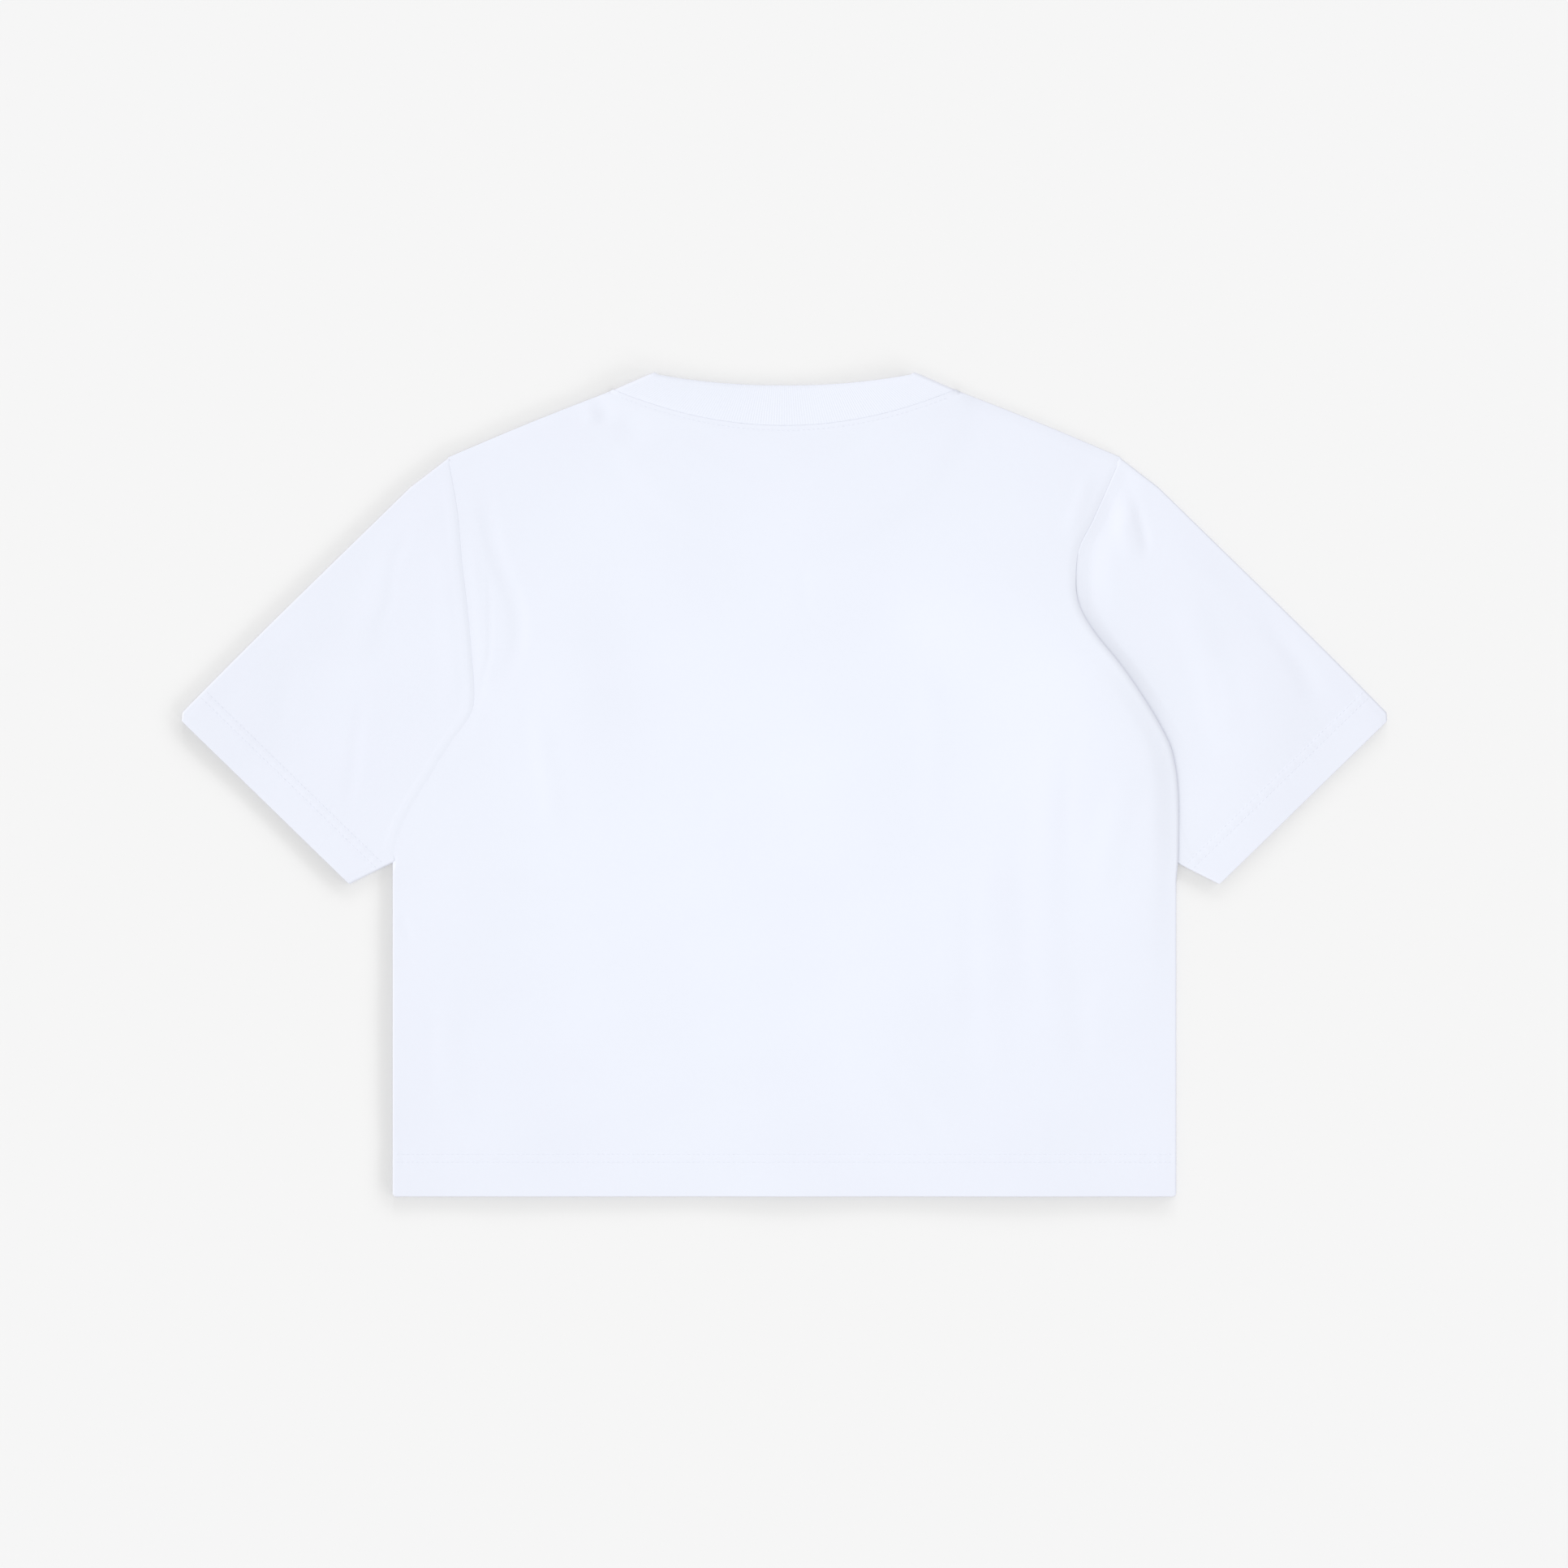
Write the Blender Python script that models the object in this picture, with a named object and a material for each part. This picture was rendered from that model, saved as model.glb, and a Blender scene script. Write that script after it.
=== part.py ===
"""White cropped T-shirt with set-in sleeves, laid flat with its back side up.

Five cut and sewn pieces, each a wall of cloth: back_panel, front_panel, sleeve_left, sleeve_right, neck_rib.
Metres. X runs across the garment, Y from the hem to the neck and Z up from the surface it lies on. The origin
is the middle of the garment's footprint. Places on the pattern are given as a cutter gives them: `out`, the
distance from the centre line, and `drop`, the distance below the neck points, where the shoulders meet the
neck opening.
"""

import math
from collections import namedtuple

import bmesh
import bpy
from mathutils import Vector
from mathutils.geometry import intersect_point_line

# Cloth
WALL = 0.0012  # one layer of heavy jersey
RIB_WALL = 0.0020  # the neck rib, folded double
GAP = 0.0003  # between two pieces
SEAM_GAP = 1.2 * GAP  # the same on the plan, where slanted edges would come closer
EASE = 0.0003  # air between two layers that lie on each other
LAYER_TOP = 2 * WALL + GAP + EASE  # upper face of cloth that lies on a second layer

# Body
BODY_WIDTH = 0.500
BODY_LENGTH = 0.526  # neck point to hem
HEM_CORNER_RADIUS = 0.0025
SHOULDER_OUT = 0.2145
SHOULDER_DROP = 0.0543
UNDERARM_DROP = 0.3130
NECK_Y = BODY_LENGTH / 2
HEM_Y = -BODY_LENGTH / 2
SIDE_X = BODY_WIDTH / 2

# Neck opening
NECK_OUT = 0.0828  # neck point to the centre line
RIB_WIDTH = 0.0250
NECK_SEAM_OUT = 0.1090  # where the rib's seam crosses the shoulder
NECK_SEAM_DROP = 0.0114
NECK_CORNER_OUT = NECK_SEAM_OUT + SEAM_GAP  # the panels' corner beside it
BACK_NECK_DROP = 0.0084
FRONT_NECK_DROP = 0.0780
RIB_RELAXES = 0.0008  # how much wider the rib is at the back centre
BACK_SEAM_DROP = BACK_NECK_DROP + RIB_WIDTH + RIB_RELAXES
RIB_RADIUS = RIB_WALL + GAP / 2  # of the rib's outer face where it folds over at the neck points
RIB_END_INNER = Vector((0.0805, NECK_Y - 0.0016))  # where those folds begin, at the free edge and at the seam
RIB_END_SEAM = Vector((0.1065, NECK_Y - 0.0126))
RIB_SAG = 0.0012  # the back half lies lower at its centre
RIB_SAG_SHARE = 0.9  # of the way from a neck point to the centre, where it is all the way down
RIB_ROUND, RIB_SQUARE = 0.0005, 0.0002  # how far its faces stop short of the free edge and of the seam
BACK_EDGE_CURVE = 2.2  # power of the back neck edge's rise toward the neck points
RIB_SHOWS = 0.0008  # rise of the back panel over the front half of the rib
RIB_SHOWS_WITHIN = (0.6 * RIB_WIDTH, 1.3 * RIB_WIDTH)  # of that half's middle line: full rise, then none

# Sleeve, seen flat
BEVEL = ((0.2270, 0.0647), (0.2385, 0.0735))  # out and drop where its upper fold bends at the shoulder
CUFF_TIP = ((0.3841, 0.2172), (0.3845, 0.2224))  # the blunt corner between its upper fold and the cuff
CUFF_INNER = (0.2774, 0.3266)
SLEEVE_FOLD_RADIUS = LAYER_TOP / 2
CAP_GAP = 0.0011  # at the shoulder tip, where the slanted fold's wall turns toward the body
SLEEVE_FADE = 0.10  # share of the way across, from either fold edge, in which its soft folds rise

EdgeRow = namedtuple("EdgeRow", "drop out")
LiftRow = namedtuple("LiftRow", "drop lift")
Fold = namedtuple("Fold", "path half_width height")  # path: out (negative on the left) and drop of its crest

# The back panel's edge on the left is the armhole seam.
BACK_LEFT = (
    EdgeRow(SHOULDER_DROP, SHOULDER_OUT),
    EdgeRow(0.0880, 0.2085),
    EdgeRow(0.1215, 0.2055),
    EdgeRow(0.1510, 0.2020),
    EdgeRow(0.1810, 0.1993),
    EdgeRow(0.2050, 0.1978),
    EdgeRow(0.2180, 0.2000),
    EdgeRow(0.2364, 0.2127),
    EdgeRow(0.2623, 0.2288),
    EdgeRow(0.2861, 0.2425),
    EdgeRow(0.3060, 0.2489),
    EdgeRow(UNDERARM_DROP, SIDE_X),
)

# On the right it is the seam down to TUCK_DROP, and below that a fold of the body that lies over the sleeve.
BACK_RIGHT = (
    EdgeRow(SHOULDER_DROP, SHOULDER_OUT),
    EdgeRow(0.0739, 0.2060),
    EdgeRow(0.0956, 0.1962),
    EdgeRow(0.1116, 0.1882),
    EdgeRow(0.1313, 0.1858),
    EdgeRow(0.1480, 0.1888),
    EdgeRow(0.1649, 0.1998),
    EdgeRow(0.1867, 0.2170),
    EdgeRow(0.2069, 0.2298),
    EdgeRow(0.2265, 0.2413),
    EdgeRow(0.2421, 0.2478),
    EdgeRow(0.2660, 0.2512),
    EdgeRow(0.3078, 0.2512),
    EdgeRow(0.3250, SIDE_X),
)
TUCK_DROP = 0.1400
TUCK = 0.0120  # how far the sleeve reaches under that fold
TUCK_GROWS, TUCK_SHRINKS = 0.0400, 0.0480  # down from TUCK_DROP, and up from the underarm

# The front panel's armholes, the same on both sides and cut deeper than the back's.
FRONT_ARMHOLE = (
    EdgeRow(SHOULDER_DROP, 0.2140),
    EdgeRow(0.0900, 0.2050),
    EdgeRow(0.1300, 0.1985),
    EdgeRow(0.1700, 0.1955),
    EdgeRow(0.2050, 0.1965),
    EdgeRow(0.2350, 0.2050),
    EdgeRow(0.2620, 0.2210),
    EdgeRow(0.2870, 0.2390),
    EdgeRow(0.3040, 0.2455),
    EdgeRow(UNDERARM_DROP, SIDE_X - 0.0030),
)
FRONT_INSIDE = WALL + 1.4 * GAP  # the front panel's edge from the outside of the back's rolled edges
FRONT_CORNER_INSIDE = 3 * FRONT_INSIDE  # at its neck corners, where the back's shoulder edge isn't rolled yet
FRONT_CORNER_OUT = 0.0160  # from there out to where it is rolled
FRONT_SEAM_DROP = 0.0220  # the front panel's seam to the rib runs straight from its corner down to here

# How high the fold over the right sleeve stands above the flat cloth.
TUCK_LIFT = (
    LiftRow(0.1120, 0.0000),
    LiftRow(0.1300, 0.0012),
    LiftRow(0.1430, 0.0026),
    LiftRow(0.1650, 0.0042),
    LiftRow(0.2000, 0.0052),
    LiftRow(0.2450, 0.0046),
    LiftRow(0.2850, 0.0032),
    LiftRow(0.3130, 0.0024),
    LiftRow(0.3450, 0.0010),
    LiftRow(0.4000, 0.0000),
)
TUCK_FLAT, TUCK_FADE = 0.0120, 0.0500  # inward from that edge: it stays at full height, then falls to none

# Between the two drops, or outs, the back panel's edge turns from flat to rolled.
LEFT_ROLL = (UNDERARM_DROP - 0.0060, UNDERARM_DROP + 0.0090)
RIGHT_ROLL = (TUCK_DROP - 0.0220, TUCK_DROP)
SHOULDER_ROLL = (NECK_SEAM_OUT + 0.0010, NECK_SEAM_OUT + 0.0130)
RIM_FALL = (0.3170, 0.3300)  # and here the right edge's rim falls from the sleeve's top to the surface

FOLD_TAPER = 0.3  # share of a soft fold's length in which each end rises
BACK_FOLDS = (
    # two pleats beside the left armhole, and the valley past them
    Fold(((-0.2005, 0.100), (-0.1965, 0.135), (-0.1935, 0.165), (-0.1930, 0.200)), 0.0058, 0.0022),
    Fold(((-0.1880, 0.110), (-0.1860, 0.150), (-0.1870, 0.180), (-0.1925, 0.208)), 0.0060, 0.0018),
    Fold(((-0.1700, 0.090), (-0.1640, 0.150), (-0.1720, 0.205)), 0.0110, 0.0009),
    # soft slants below them
    Fold(((-0.1600, 0.215), (-0.1500, 0.270), (-0.1470, 0.300)), 0.0120, 0.0010),
    Fold(((-0.2250, 0.320), (-0.1600, 0.322)), 0.0100, 0.0008),
    Fold(((-0.2200, 0.352), (-0.1000, 0.346)), 0.0120, 0.0007),
    # the body beside the right sleeve
    Fold(((0.1960, 0.060), (0.1880, 0.085), (0.1790, 0.110)), 0.0080, 0.0012),
    Fold(((0.2300, 0.250), (0.2150, 0.290), (0.1980, 0.340)), 0.0120, 0.0016),
    # soft hanging folds toward the lower right
    Fold(((0.1700, 0.220), (0.1680, 0.300), (0.1700, 0.440)), 0.0150, 0.0016),
    Fold(((0.1300, 0.280), (0.1320, 0.370), (0.1350, 0.480)), 0.0150, 0.0012),
    Fold(((0.1050, 0.330), (0.1060, 0.420)), 0.0130, 0.0008),
    # the left side above the hem
    Fold(((-0.2100, 0.380), (-0.2150, 0.430), (-0.2060, 0.490)), 0.0150, 0.0009),
)
LEFT_SLEEVE_FOLDS = (
    Fold(((-0.2190, 0.090), (-0.2150, 0.140), (-0.2110, 0.190), (-0.2200, 0.230)), 0.0120, 0.0014),
    Fold(((-0.2480, 0.110), (-0.2620, 0.150), (-0.2780, 0.190)), 0.0150, 0.0009),
)
RIGHT_SLEEVE_FOLDS = (
    Fold(((0.2170, 0.074), (0.2100, 0.098), (0.2030, 0.125), (0.2020, 0.142)), 0.0105, 0.0026),
    Fold(((0.2500, 0.130), (0.2720, 0.190), (0.2850, 0.250)), 0.0170, 0.0012),
)

# Where the grids have their lines
EDGE_ROLL_TURNS = (None, 0.0, 30.0, 60.0, 90.0)  # degrees round a rolled edge, after its straight lip
ROLL_SHARE = 0.8  # of a rolled edge's height that its arc takes
FLAT_STEP = 0.0008  # between the same lines where the edge isn't rolled
SHOULDER_SHARES = (0.03, 0.055, 0.08, 0.11, 0.14, 0.175, 0.215, 0.265, 0.325, 0.40, 0.49, 0.59, 0.70, 0.82,
                   0.92)
NECK_SHARES = (0.0, 0.12, 0.25, 0.38, 0.51, 0.63, 0.75, 0.88, 1.0)
BODY_DROPS = (BODY_LENGTH, 0.5010, 0.4640, 0.4270, 0.3930, 0.3640, 0.3420, 0.3260, 0.3190, UNDERARM_DROP)
ARMHOLE_DROPS = (0.3070, 0.2950, 0.2810, 0.2660, 0.2510, 0.2360, 0.2230, 0.2110, 0.1990, 0.1860, 0.1730,
                 0.1600, 0.1470, 0.1340, 0.1200, 0.1060, 0.0920, 0.0780, 0.0660)
SLEEVE_ALONG = (0.03, 0.0675, 0.1278, 0.19, 0.26, 0.34, 0.43, 0.53, 0.63, 0.73, 0.83, 0.92, 0.9784)
SLEEVE_TURNS = (60.0, 30.0, 0.0, -30.0, -60.0)
RIB_BACK_STEPS, RIB_FRONT_STEPS = 22, 30
RIB_FOLD_TURNS = (60.0, 30.0, 0.0, -30.0, -60.0)
SLOPE_STEP = 0.001  # over which an edge's slope is taken
TINY = 1e-6  # from the centre line, for a point that lies on it

CLOTH_COLOUR = (0.90, 0.92, 0.97, 1.0)
RIB_COLOUR = (0.88, 0.90, 0.96, 1.0)
CLOTH_ROUGHNESS = 0.9


def clear_scene():
    for obj in list(bpy.data.objects):
        bpy.data.objects.remove(obj)


def lerp(a, b, share):
    return a + (b - a) * share


def smoothstep(low, high, value):
    share = min(max((value - low) / (high - low), 0.0), 1.0)
    return share * share * (3 - 2 * share)


def curve_at(rows, at):
    """The second column of a table at this value of its first, on a smooth curve through its rows."""
    if at <= rows[0][0]:
        return rows[0][1]
    if at >= rows[-1][0]:
        return rows[-1][1]

    def slope(i):
        before, after = rows[max(i - 1, 0)], rows[min(i + 1, len(rows) - 1)]
        return (after[1] - before[1]) / (after[0] - before[0])

    i = max(k for k in range(len(rows) - 1) if rows[k][0] <= at)
    span = rows[i + 1][0] - rows[i][0]
    t = (at - rows[i][0]) / span
    return (
        (2 * t**3 - 3 * t**2 + 1) * rows[i][1]
        + (t**3 - 2 * t**2 + t) * span * slope(i)
        + (3 * t**2 - 2 * t**3) * rows[i + 1][1]
        + (t**3 - t**2) * span * slope(i + 1)
    )


def fold_height(fold, x, drop):
    """Height of one soft fold above the flat cloth: rounded across its path and fading out at both ends."""
    here = Vector((x, drop, 0.0))
    points = [Vector((*p, 0.0)) for p in fold.path]
    lengths = [(b - a).length for a, b in zip(points, points[1:])]
    nearest, along, passed = math.inf, 0.0, 0.0
    for a, b, length in zip(points, points[1:], lengths):
        _, share = intersect_point_line(here, a, b)
        share = min(max(share, 0.0), 1.0)
        distance = (here - a.lerp(b, share)).length
        if distance < nearest:
            nearest, along = distance, passed + share * length
        passed += length
    if nearest >= fold.half_width:
        return 0.0
    along /= passed
    ends = smoothstep(0.0, FOLD_TAPER, along) * smoothstep(0.0, FOLD_TAPER, 1 - along)
    return fold.height * ends * math.cos(math.pi / 2 * nearest / fold.half_width) ** 2


# ---- the panels' outlines ----


def on_plan(side, out, drop):
    return Vector((side * out, NECK_Y - drop))


def shoulder_y(out):
    """The shoulder line, straight from the rib's seam to the armhole."""
    share = (out - NECK_SEAM_OUT) / (SHOULDER_OUT - NECK_SEAM_OUT)
    return NECK_Y - lerp(NECK_SEAM_DROP, SHOULDER_DROP, share)


# Length along Y across the shoulder line that makes one unit straight across it
SHOULDER_STRETCH = math.hypot(1.0, (SHOULDER_DROP - NECK_SEAM_DROP) / (SHOULDER_OUT - NECK_SEAM_OUT))


def back_seam_y(out):
    """The seam between the back panel and the rib."""
    return NECK_Y - lerp(BACK_SEAM_DROP, NECK_SEAM_DROP, (out / NECK_SEAM_OUT) ** 2)


def back_top_edge_y(x):
    out = abs(x)
    return min(shoulder_y(out), back_seam_y(out) - SEAM_GAP)


def tuck_at(drop):
    """How far the right sleeve reaches under the body's fold at this drop."""
    grown = smoothstep(TUCK_DROP, TUCK_DROP + TUCK_GROWS, drop)
    return TUCK * grown * smoothstep(UNDERARM_DROP, UNDERARM_DROP - TUCK_SHRINKS, drop)


def slope_stretch(rows, at):
    """Length across a slanted edge's grid line that makes one unit straight across the edge."""
    rise = curve_at(rows, at + SLOPE_STEP) - curve_at(rows, at - SLOPE_STEP)
    return math.hypot(1.0, rise / (2 * SLOPE_STEP))


def over_front_rib(x, drop):
    """The back panel's rise over the front half of the rib, which lies under it."""
    middle_out, middle_drop = NECK_OUT + RIB_WIDTH / 2, FRONT_NECK_DROP + RIB_WIDTH / 2
    ring = math.hypot(x / middle_out, max(drop, 0.0) / middle_drop)
    away = abs(ring - 1.0) * (middle_out + middle_drop) / 2
    return RIB_SHOWS * (1 - smoothstep(*RIB_SHOWS_WITHIN, away))


def over_sleeve(x, drop):
    """The body's fold over the right sleeve."""
    inward = curve_at(BACK_RIGHT, drop) - x
    return curve_at(TUCK_LIFT, drop) * (1 - smoothstep(TUCK_FLAT, TUCK_FADE, inward))


def back_height(x, y):
    """The back panel's upper face."""
    drop = NECK_Y - y
    folds = sum(fold_height(fold, x, drop) for fold in BACK_FOLDS)
    return LAYER_TOP + folds + over_front_rib(x, drop) + over_sleeve(x, drop)


# ---- rolled edges ----


def rolled_lines(height, share):
    """(inset, fall) of each line of an edge: share 1 rolls the cloth down through height, 0 leaves it flat."""
    radius = ROLL_SHARE * height
    lines = []
    for k, turn in enumerate(EDGE_ROLL_TURNS):
        angle = math.radians(turn or 0.0)
        inset = radius * (1 - math.cos(angle))
        fall = height if turn is None else radius * (1 - math.sin(angle))
        lines.append((lerp(k * FLAT_STEP, inset, share), share * fall))
    return lines


def right_rim(drop):
    """Where the right edge's roll ends: just above the sleeve, and below that just above the surface."""
    return lerp(LAYER_TOP + SEAM_GAP, GAP, smoothstep(*RIM_FALL, drop))


# ---- meshes ----


def cloth_material(name, colour):
    material = bpy.data.materials.new(name)
    material.use_nodes = True
    shader = material.node_tree.nodes["Principled BSDF"]
    shader.inputs["Base Color"].default_value = colour
    shader.inputs["Roughness"].default_value = CLOTH_ROUGHNESS
    shader.inputs["Metallic"].default_value = 0.0
    return material


def add_object(name, mesh_maker, material):
    mesh = bpy.data.meshes.new(name)
    mesh_maker.to_mesh(mesh)
    mesh_maker.free()
    mesh.materials.append(material)
    mesh.shade_smooth()
    obj = bpy.data.objects.new(name, mesh)
    bpy.context.scene.collection.objects.link(obj)
    return obj


def grid_mesh(rows, rings=False, loop=False):
    """Quads between rows of points. rings closes each row, and loop joins the last row to the first."""
    made = bmesh.new()
    lines = [[made.verts.new(point) for point in row] for row in rows]
    pairs = list(zip(lines, lines[1:])) + ([(lines[-1], lines[0])] if loop else [])
    for low, high in pairs:
        across = list(range(len(low) - 1)) + ([-1] if rings else [])
        for i in across:
            made.faces.new((low[i], low[i + 1], high[i + 1], high[i]))
    return made


def thicken(obj, wall):
    """Gives a surface its wall, on the inner side."""
    solidify = obj.modifiers.new("wall", "SOLIDIFY")
    solidify.thickness = wall
    solidify.offset = -1.0
    solidify.use_even_offset = True
    solidify.use_rim = True


def edge_lines(drop):
    """(x, fall) of the lines of the back panel's left edge and of its right edge, both from left to right."""
    left, right = -curve_at(BACK_LEFT, drop), curve_at(BACK_RIGHT, drop)
    y = NECK_Y - drop
    left_lines = rolled_lines(back_height(left, y) - GAP, smoothstep(*LEFT_ROLL, drop))
    right_lines = rolled_lines(back_height(right, y) - right_rim(drop), smoothstep(*RIGHT_ROLL, drop))
    left_wide, right_wide = slope_stretch(BACK_LEFT, drop), slope_stretch(BACK_RIGHT, drop)
    return (
        [(left + inset * left_wide, fall) for inset, fall in left_lines],
        [(right - inset * right_wide, fall) for inset, fall in reversed(right_lines)],
    )


def grid_shares(start, end):
    """Places of the panel's grid lines between its two edges, with one line at each end of the rib's seam."""
    left, right = ((x - start) / (end - start) for x in (-NECK_CORNER_OUT, NECK_CORNER_OUT))
    return [
        *(left * s for s in SHOULDER_SHARES),
        *(lerp(left, 0.5, s) for s in NECK_SHARES),
        *(lerp(right, 0.5, s) for s in reversed(NECK_SHARES[:-1])),
        *(lerp(1.0, right, s) for s in reversed(SHOULDER_SHARES)),
    ]


def hem_corner_rise(x, drop):
    """The hem's small rounded corners."""
    past = abs(x) - (SIDE_X - HEM_CORNER_RADIUS)
    if drop < BODY_LENGTH or past <= 0:
        return 0.0
    return HEM_CORNER_RADIUS - math.sqrt(max(HEM_CORNER_RADIUS**2 - past**2, 0.0))


def back_panel(material):
    left_lines, right_lines = edge_lines(SHOULDER_DROP)
    shares = grid_shares(left_lines[-1][0], right_lines[0][0])

    def across(drop):
        left_lines, right_lines = edge_lines(drop)
        between = [(lerp(left_lines[-1][0], right_lines[0][0], share), 0.0) for share in shares]
        return [*left_lines, *between, *right_lines]

    shoulder_row = across(SHOULDER_DROP)
    tops = [back_top_edge_y(x) for x, _ in shoulder_row]
    rows = []
    for drop in (*BODY_DROPS, *ARMHOLE_DROPS):
        up = (BODY_LENGTH - drop) / (BODY_LENGTH - SHOULDER_DROP)
        row = []
        for (x, fall), top in zip(across(drop), tops):
            y = lerp(HEM_Y + hem_corner_rise(x, drop), top, up)
            row.append(Vector((x, y, back_height(x, y) - fall)))
        rows.append(row)
    for k in reversed(range(len(EDGE_ROLL_TURNS))):
        row = []
        for (x, _), top in zip(shoulder_row, tops):
            roll = smoothstep(*SHOULDER_ROLL, abs(x))
            inset, fall = rolled_lines(back_height(x, top) - GAP, roll)[k]
            y = top - inset * SHOULDER_STRETCH
            row.append(Vector((x, y, back_height(x, y) - fall)))
        rows.append(row)
    obj = add_object("back_panel", grid_mesh(rows), material)
    thicken(obj, WALL)
    return obj


def front_panel(material):
    """A flat layer on the surface, inside the rolled edges of the back."""
    side = SIDE_X - FRONT_INSIDE
    half = [Vector((side - HEM_CORNER_RADIUS, HEM_Y)), Vector((side, HEM_Y + HEM_CORNER_RADIUS))]
    half += [on_plan(1, curve_at(FRONT_ARMHOLE, drop), drop) for drop in (UNDERARM_DROP, *ARMHOLE_DROPS)]
    half.append(on_plan(1, SHOULDER_OUT - FRONT_INSIDE, SHOULDER_DROP + FRONT_INSIDE * SHOULDER_STRETCH))
    for out, inside in (
        (NECK_SEAM_OUT + FRONT_CORNER_OUT, FRONT_INSIDE),
        (NECK_CORNER_OUT, FRONT_CORNER_INSIDE),
    ):
        half.append(Vector((out, shoulder_y(out) - inside * SHOULDER_STRETCH)))
    seam = front_rib_line(RIB_WIDTH + SEAM_GAP)
    half += [p for p in reversed(seam) if p.x > -TINY and p.y < NECK_Y - FRONT_SEAM_DROP]
    outline = half + [Vector((-p.x, p.y)) for p in reversed(half) if p.x > TINY]
    made = bmesh.new()
    under = made.faces.new([made.verts.new((p.x, p.y, 0.0)) for p in outline])
    extruded = bmesh.ops.extrude_face_region(made, geom=[under])["geom"]
    raised = [part for part in extruded if isinstance(part, bmesh.types.BMVert)]
    bmesh.ops.translate(made, vec=(0, 0, WALL), verts=raised)
    bmesh.ops.recalc_face_normals(made, faces=made.faces)
    return add_object("front_panel", made, material)


# ---- sleeves ----


def polyline_at(points, share):
    """The point at this share of a polyline's length."""
    lengths = [(b - a).length for a, b in zip(points, points[1:])]
    ahead = share * sum(lengths)
    for a, b, length in zip(points, points[1:], lengths):
        if ahead <= length:
            return a.lerp(b, ahead / length)
        ahead -= length
    return points[-1]


def sleeve(name, side, back_armhole, folds, material):
    """A flattened tube from the armholes to the cuff. back_armhole gives its upper layer's start."""
    radius = SLEEVE_FOLD_RADIUS
    upper_fold = [on_plan(side, *p) for p in ((SHOULDER_OUT + CAP_GAP, SHOULDER_DROP), *BEVEL, *CUFF_TIP)]
    underarm = [on_plan(side, SIDE_X + SEAM_GAP, UNDERARM_DROP), on_plan(side, *CUFF_INNER)]

    def edges(v):
        """The two fold edges of this ring, and the unit direction from the first to the second."""
        top, low = polyline_at(upper_fold, v), polyline_at(underarm, v)
        return top, low, (low - top).normalized()

    def flat_edges(v):
        """Where this ring's two layers start and end, inside its rounded folds."""
        top, low, way = edges(v)
        return top + way * radius, low - way * radius

    def layer(armhole, v):
        """(share across, plan place) of one layer's points between its armhole, its folds and the cuff."""
        first, last = flat_edges(0.0)
        seam = [on_plan(side, armhole(drop) + SEAM_GAP, drop) for drop in reversed(ARMHOLE_DROPS)]
        points = []
        for start in (first, *seam, last):
            u = (start.y - first.y) / (last.y - first.y)
            ruled = Vector.lerp(*flat_edges(v), u)
            points.append((u, ruled + (start - first.lerp(last, u)) * (1 - v)))
        return points

    def height(p, u):
        fade = smoothstep(0.0, SLEEVE_FADE, u) * smoothstep(0.0, SLEEVE_FADE, 1 - u)
        return LAYER_TOP + fade * sum(fold_height(fold, p.x, NECK_Y - p.y) for fold in folds)

    def ring(v):
        top, low, way = edges(v)
        points = []
        for u, p in layer(back_armhole, v):
            points.append(Vector((p.x, p.y, height(p, u))))
        for turn in SLEEVE_TURNS:
            p = low - way * radius * (1 - math.cos(math.radians(turn)))
            points.append(Vector((p.x, p.y, radius * (1 + math.sin(math.radians(turn))))))
        for _, p in reversed(layer(lambda drop: curve_at(FRONT_ARMHOLE, drop), v)):
            points.append(Vector((p.x, p.y, 0.0)))
        for turn in reversed(SLEEVE_TURNS):
            p = top + way * radius * (1 - math.cos(math.radians(turn)))
            points.append(Vector((p.x, p.y, radius * (1 + math.sin(math.radians(turn))))))
        return points

    rings = [ring(v) for v in (0.0, *SLEEVE_ALONG, 1.0)]
    if side < 0:
        rings.reverse()
    obj = add_object(name, grid_mesh(rings, rings=True), material)
    thicken(obj, WALL)
    return obj


# ---- neck rib ----


def front_rib_line(width):
    """The front half's line at this distance from its free edge, from the left end to the right end."""
    share = width / RIB_WIDTH
    end = RIB_END_INNER.lerp(RIB_END_SEAM, share)
    depth = end.y - (NECK_Y - FRONT_NECK_DROP - width)
    turns = [math.pi * k / RIB_FRONT_STEPS - math.pi / 2 for k in range(RIB_FRONT_STEPS + 1)]
    return [Vector((end.x * math.sin(a), end.y - depth * math.cos(a))) for a in turns]


def back_rib_line(at_seam):
    shares = [2 * k / RIB_BACK_STEPS - 1 for k in range(RIB_BACK_STEPS + 1)]
    if at_seam:
        places = [RIB_END_SEAM.x * s for s in shares]
        return [Vector((x, back_seam_y(abs(x)))) for x in places]
    end, low = RIB_END_INNER, NECK_Y - BACK_NECK_DROP
    return [Vector((end.x * s, lerp(low, end.y, abs(s) ** BACK_EDGE_CURVE))) for s in shares]


def rib_section(outer_face, inner_face, outer_z, inner_z):
    """Eight points round the band: along its outer face, over the seam edge, back along its inner face and
    over the rounded free edge. Each face is the plan places of its free edge and of its seam edge."""

    def along(face):
        free, seam = face
        way = (seam - free).normalized()
        return [free + way * RIB_ROUND, free.lerp(seam, 0.5), seam - way * RIB_SQUARE]

    free_edge, seam_edge = (a.lerp(b, 0.5) for a, b in zip(outer_face, inner_face))
    middle_z = (outer_z + inner_z) / 2
    return [
        *(Vector((*p, outer_z)) for p in along(outer_face)),
        Vector((*seam_edge, middle_z)),
        *(Vector((*p, inner_z)) for p in reversed(along(inner_face))),
        Vector((*free_edge, middle_z)),
    ]


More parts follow.
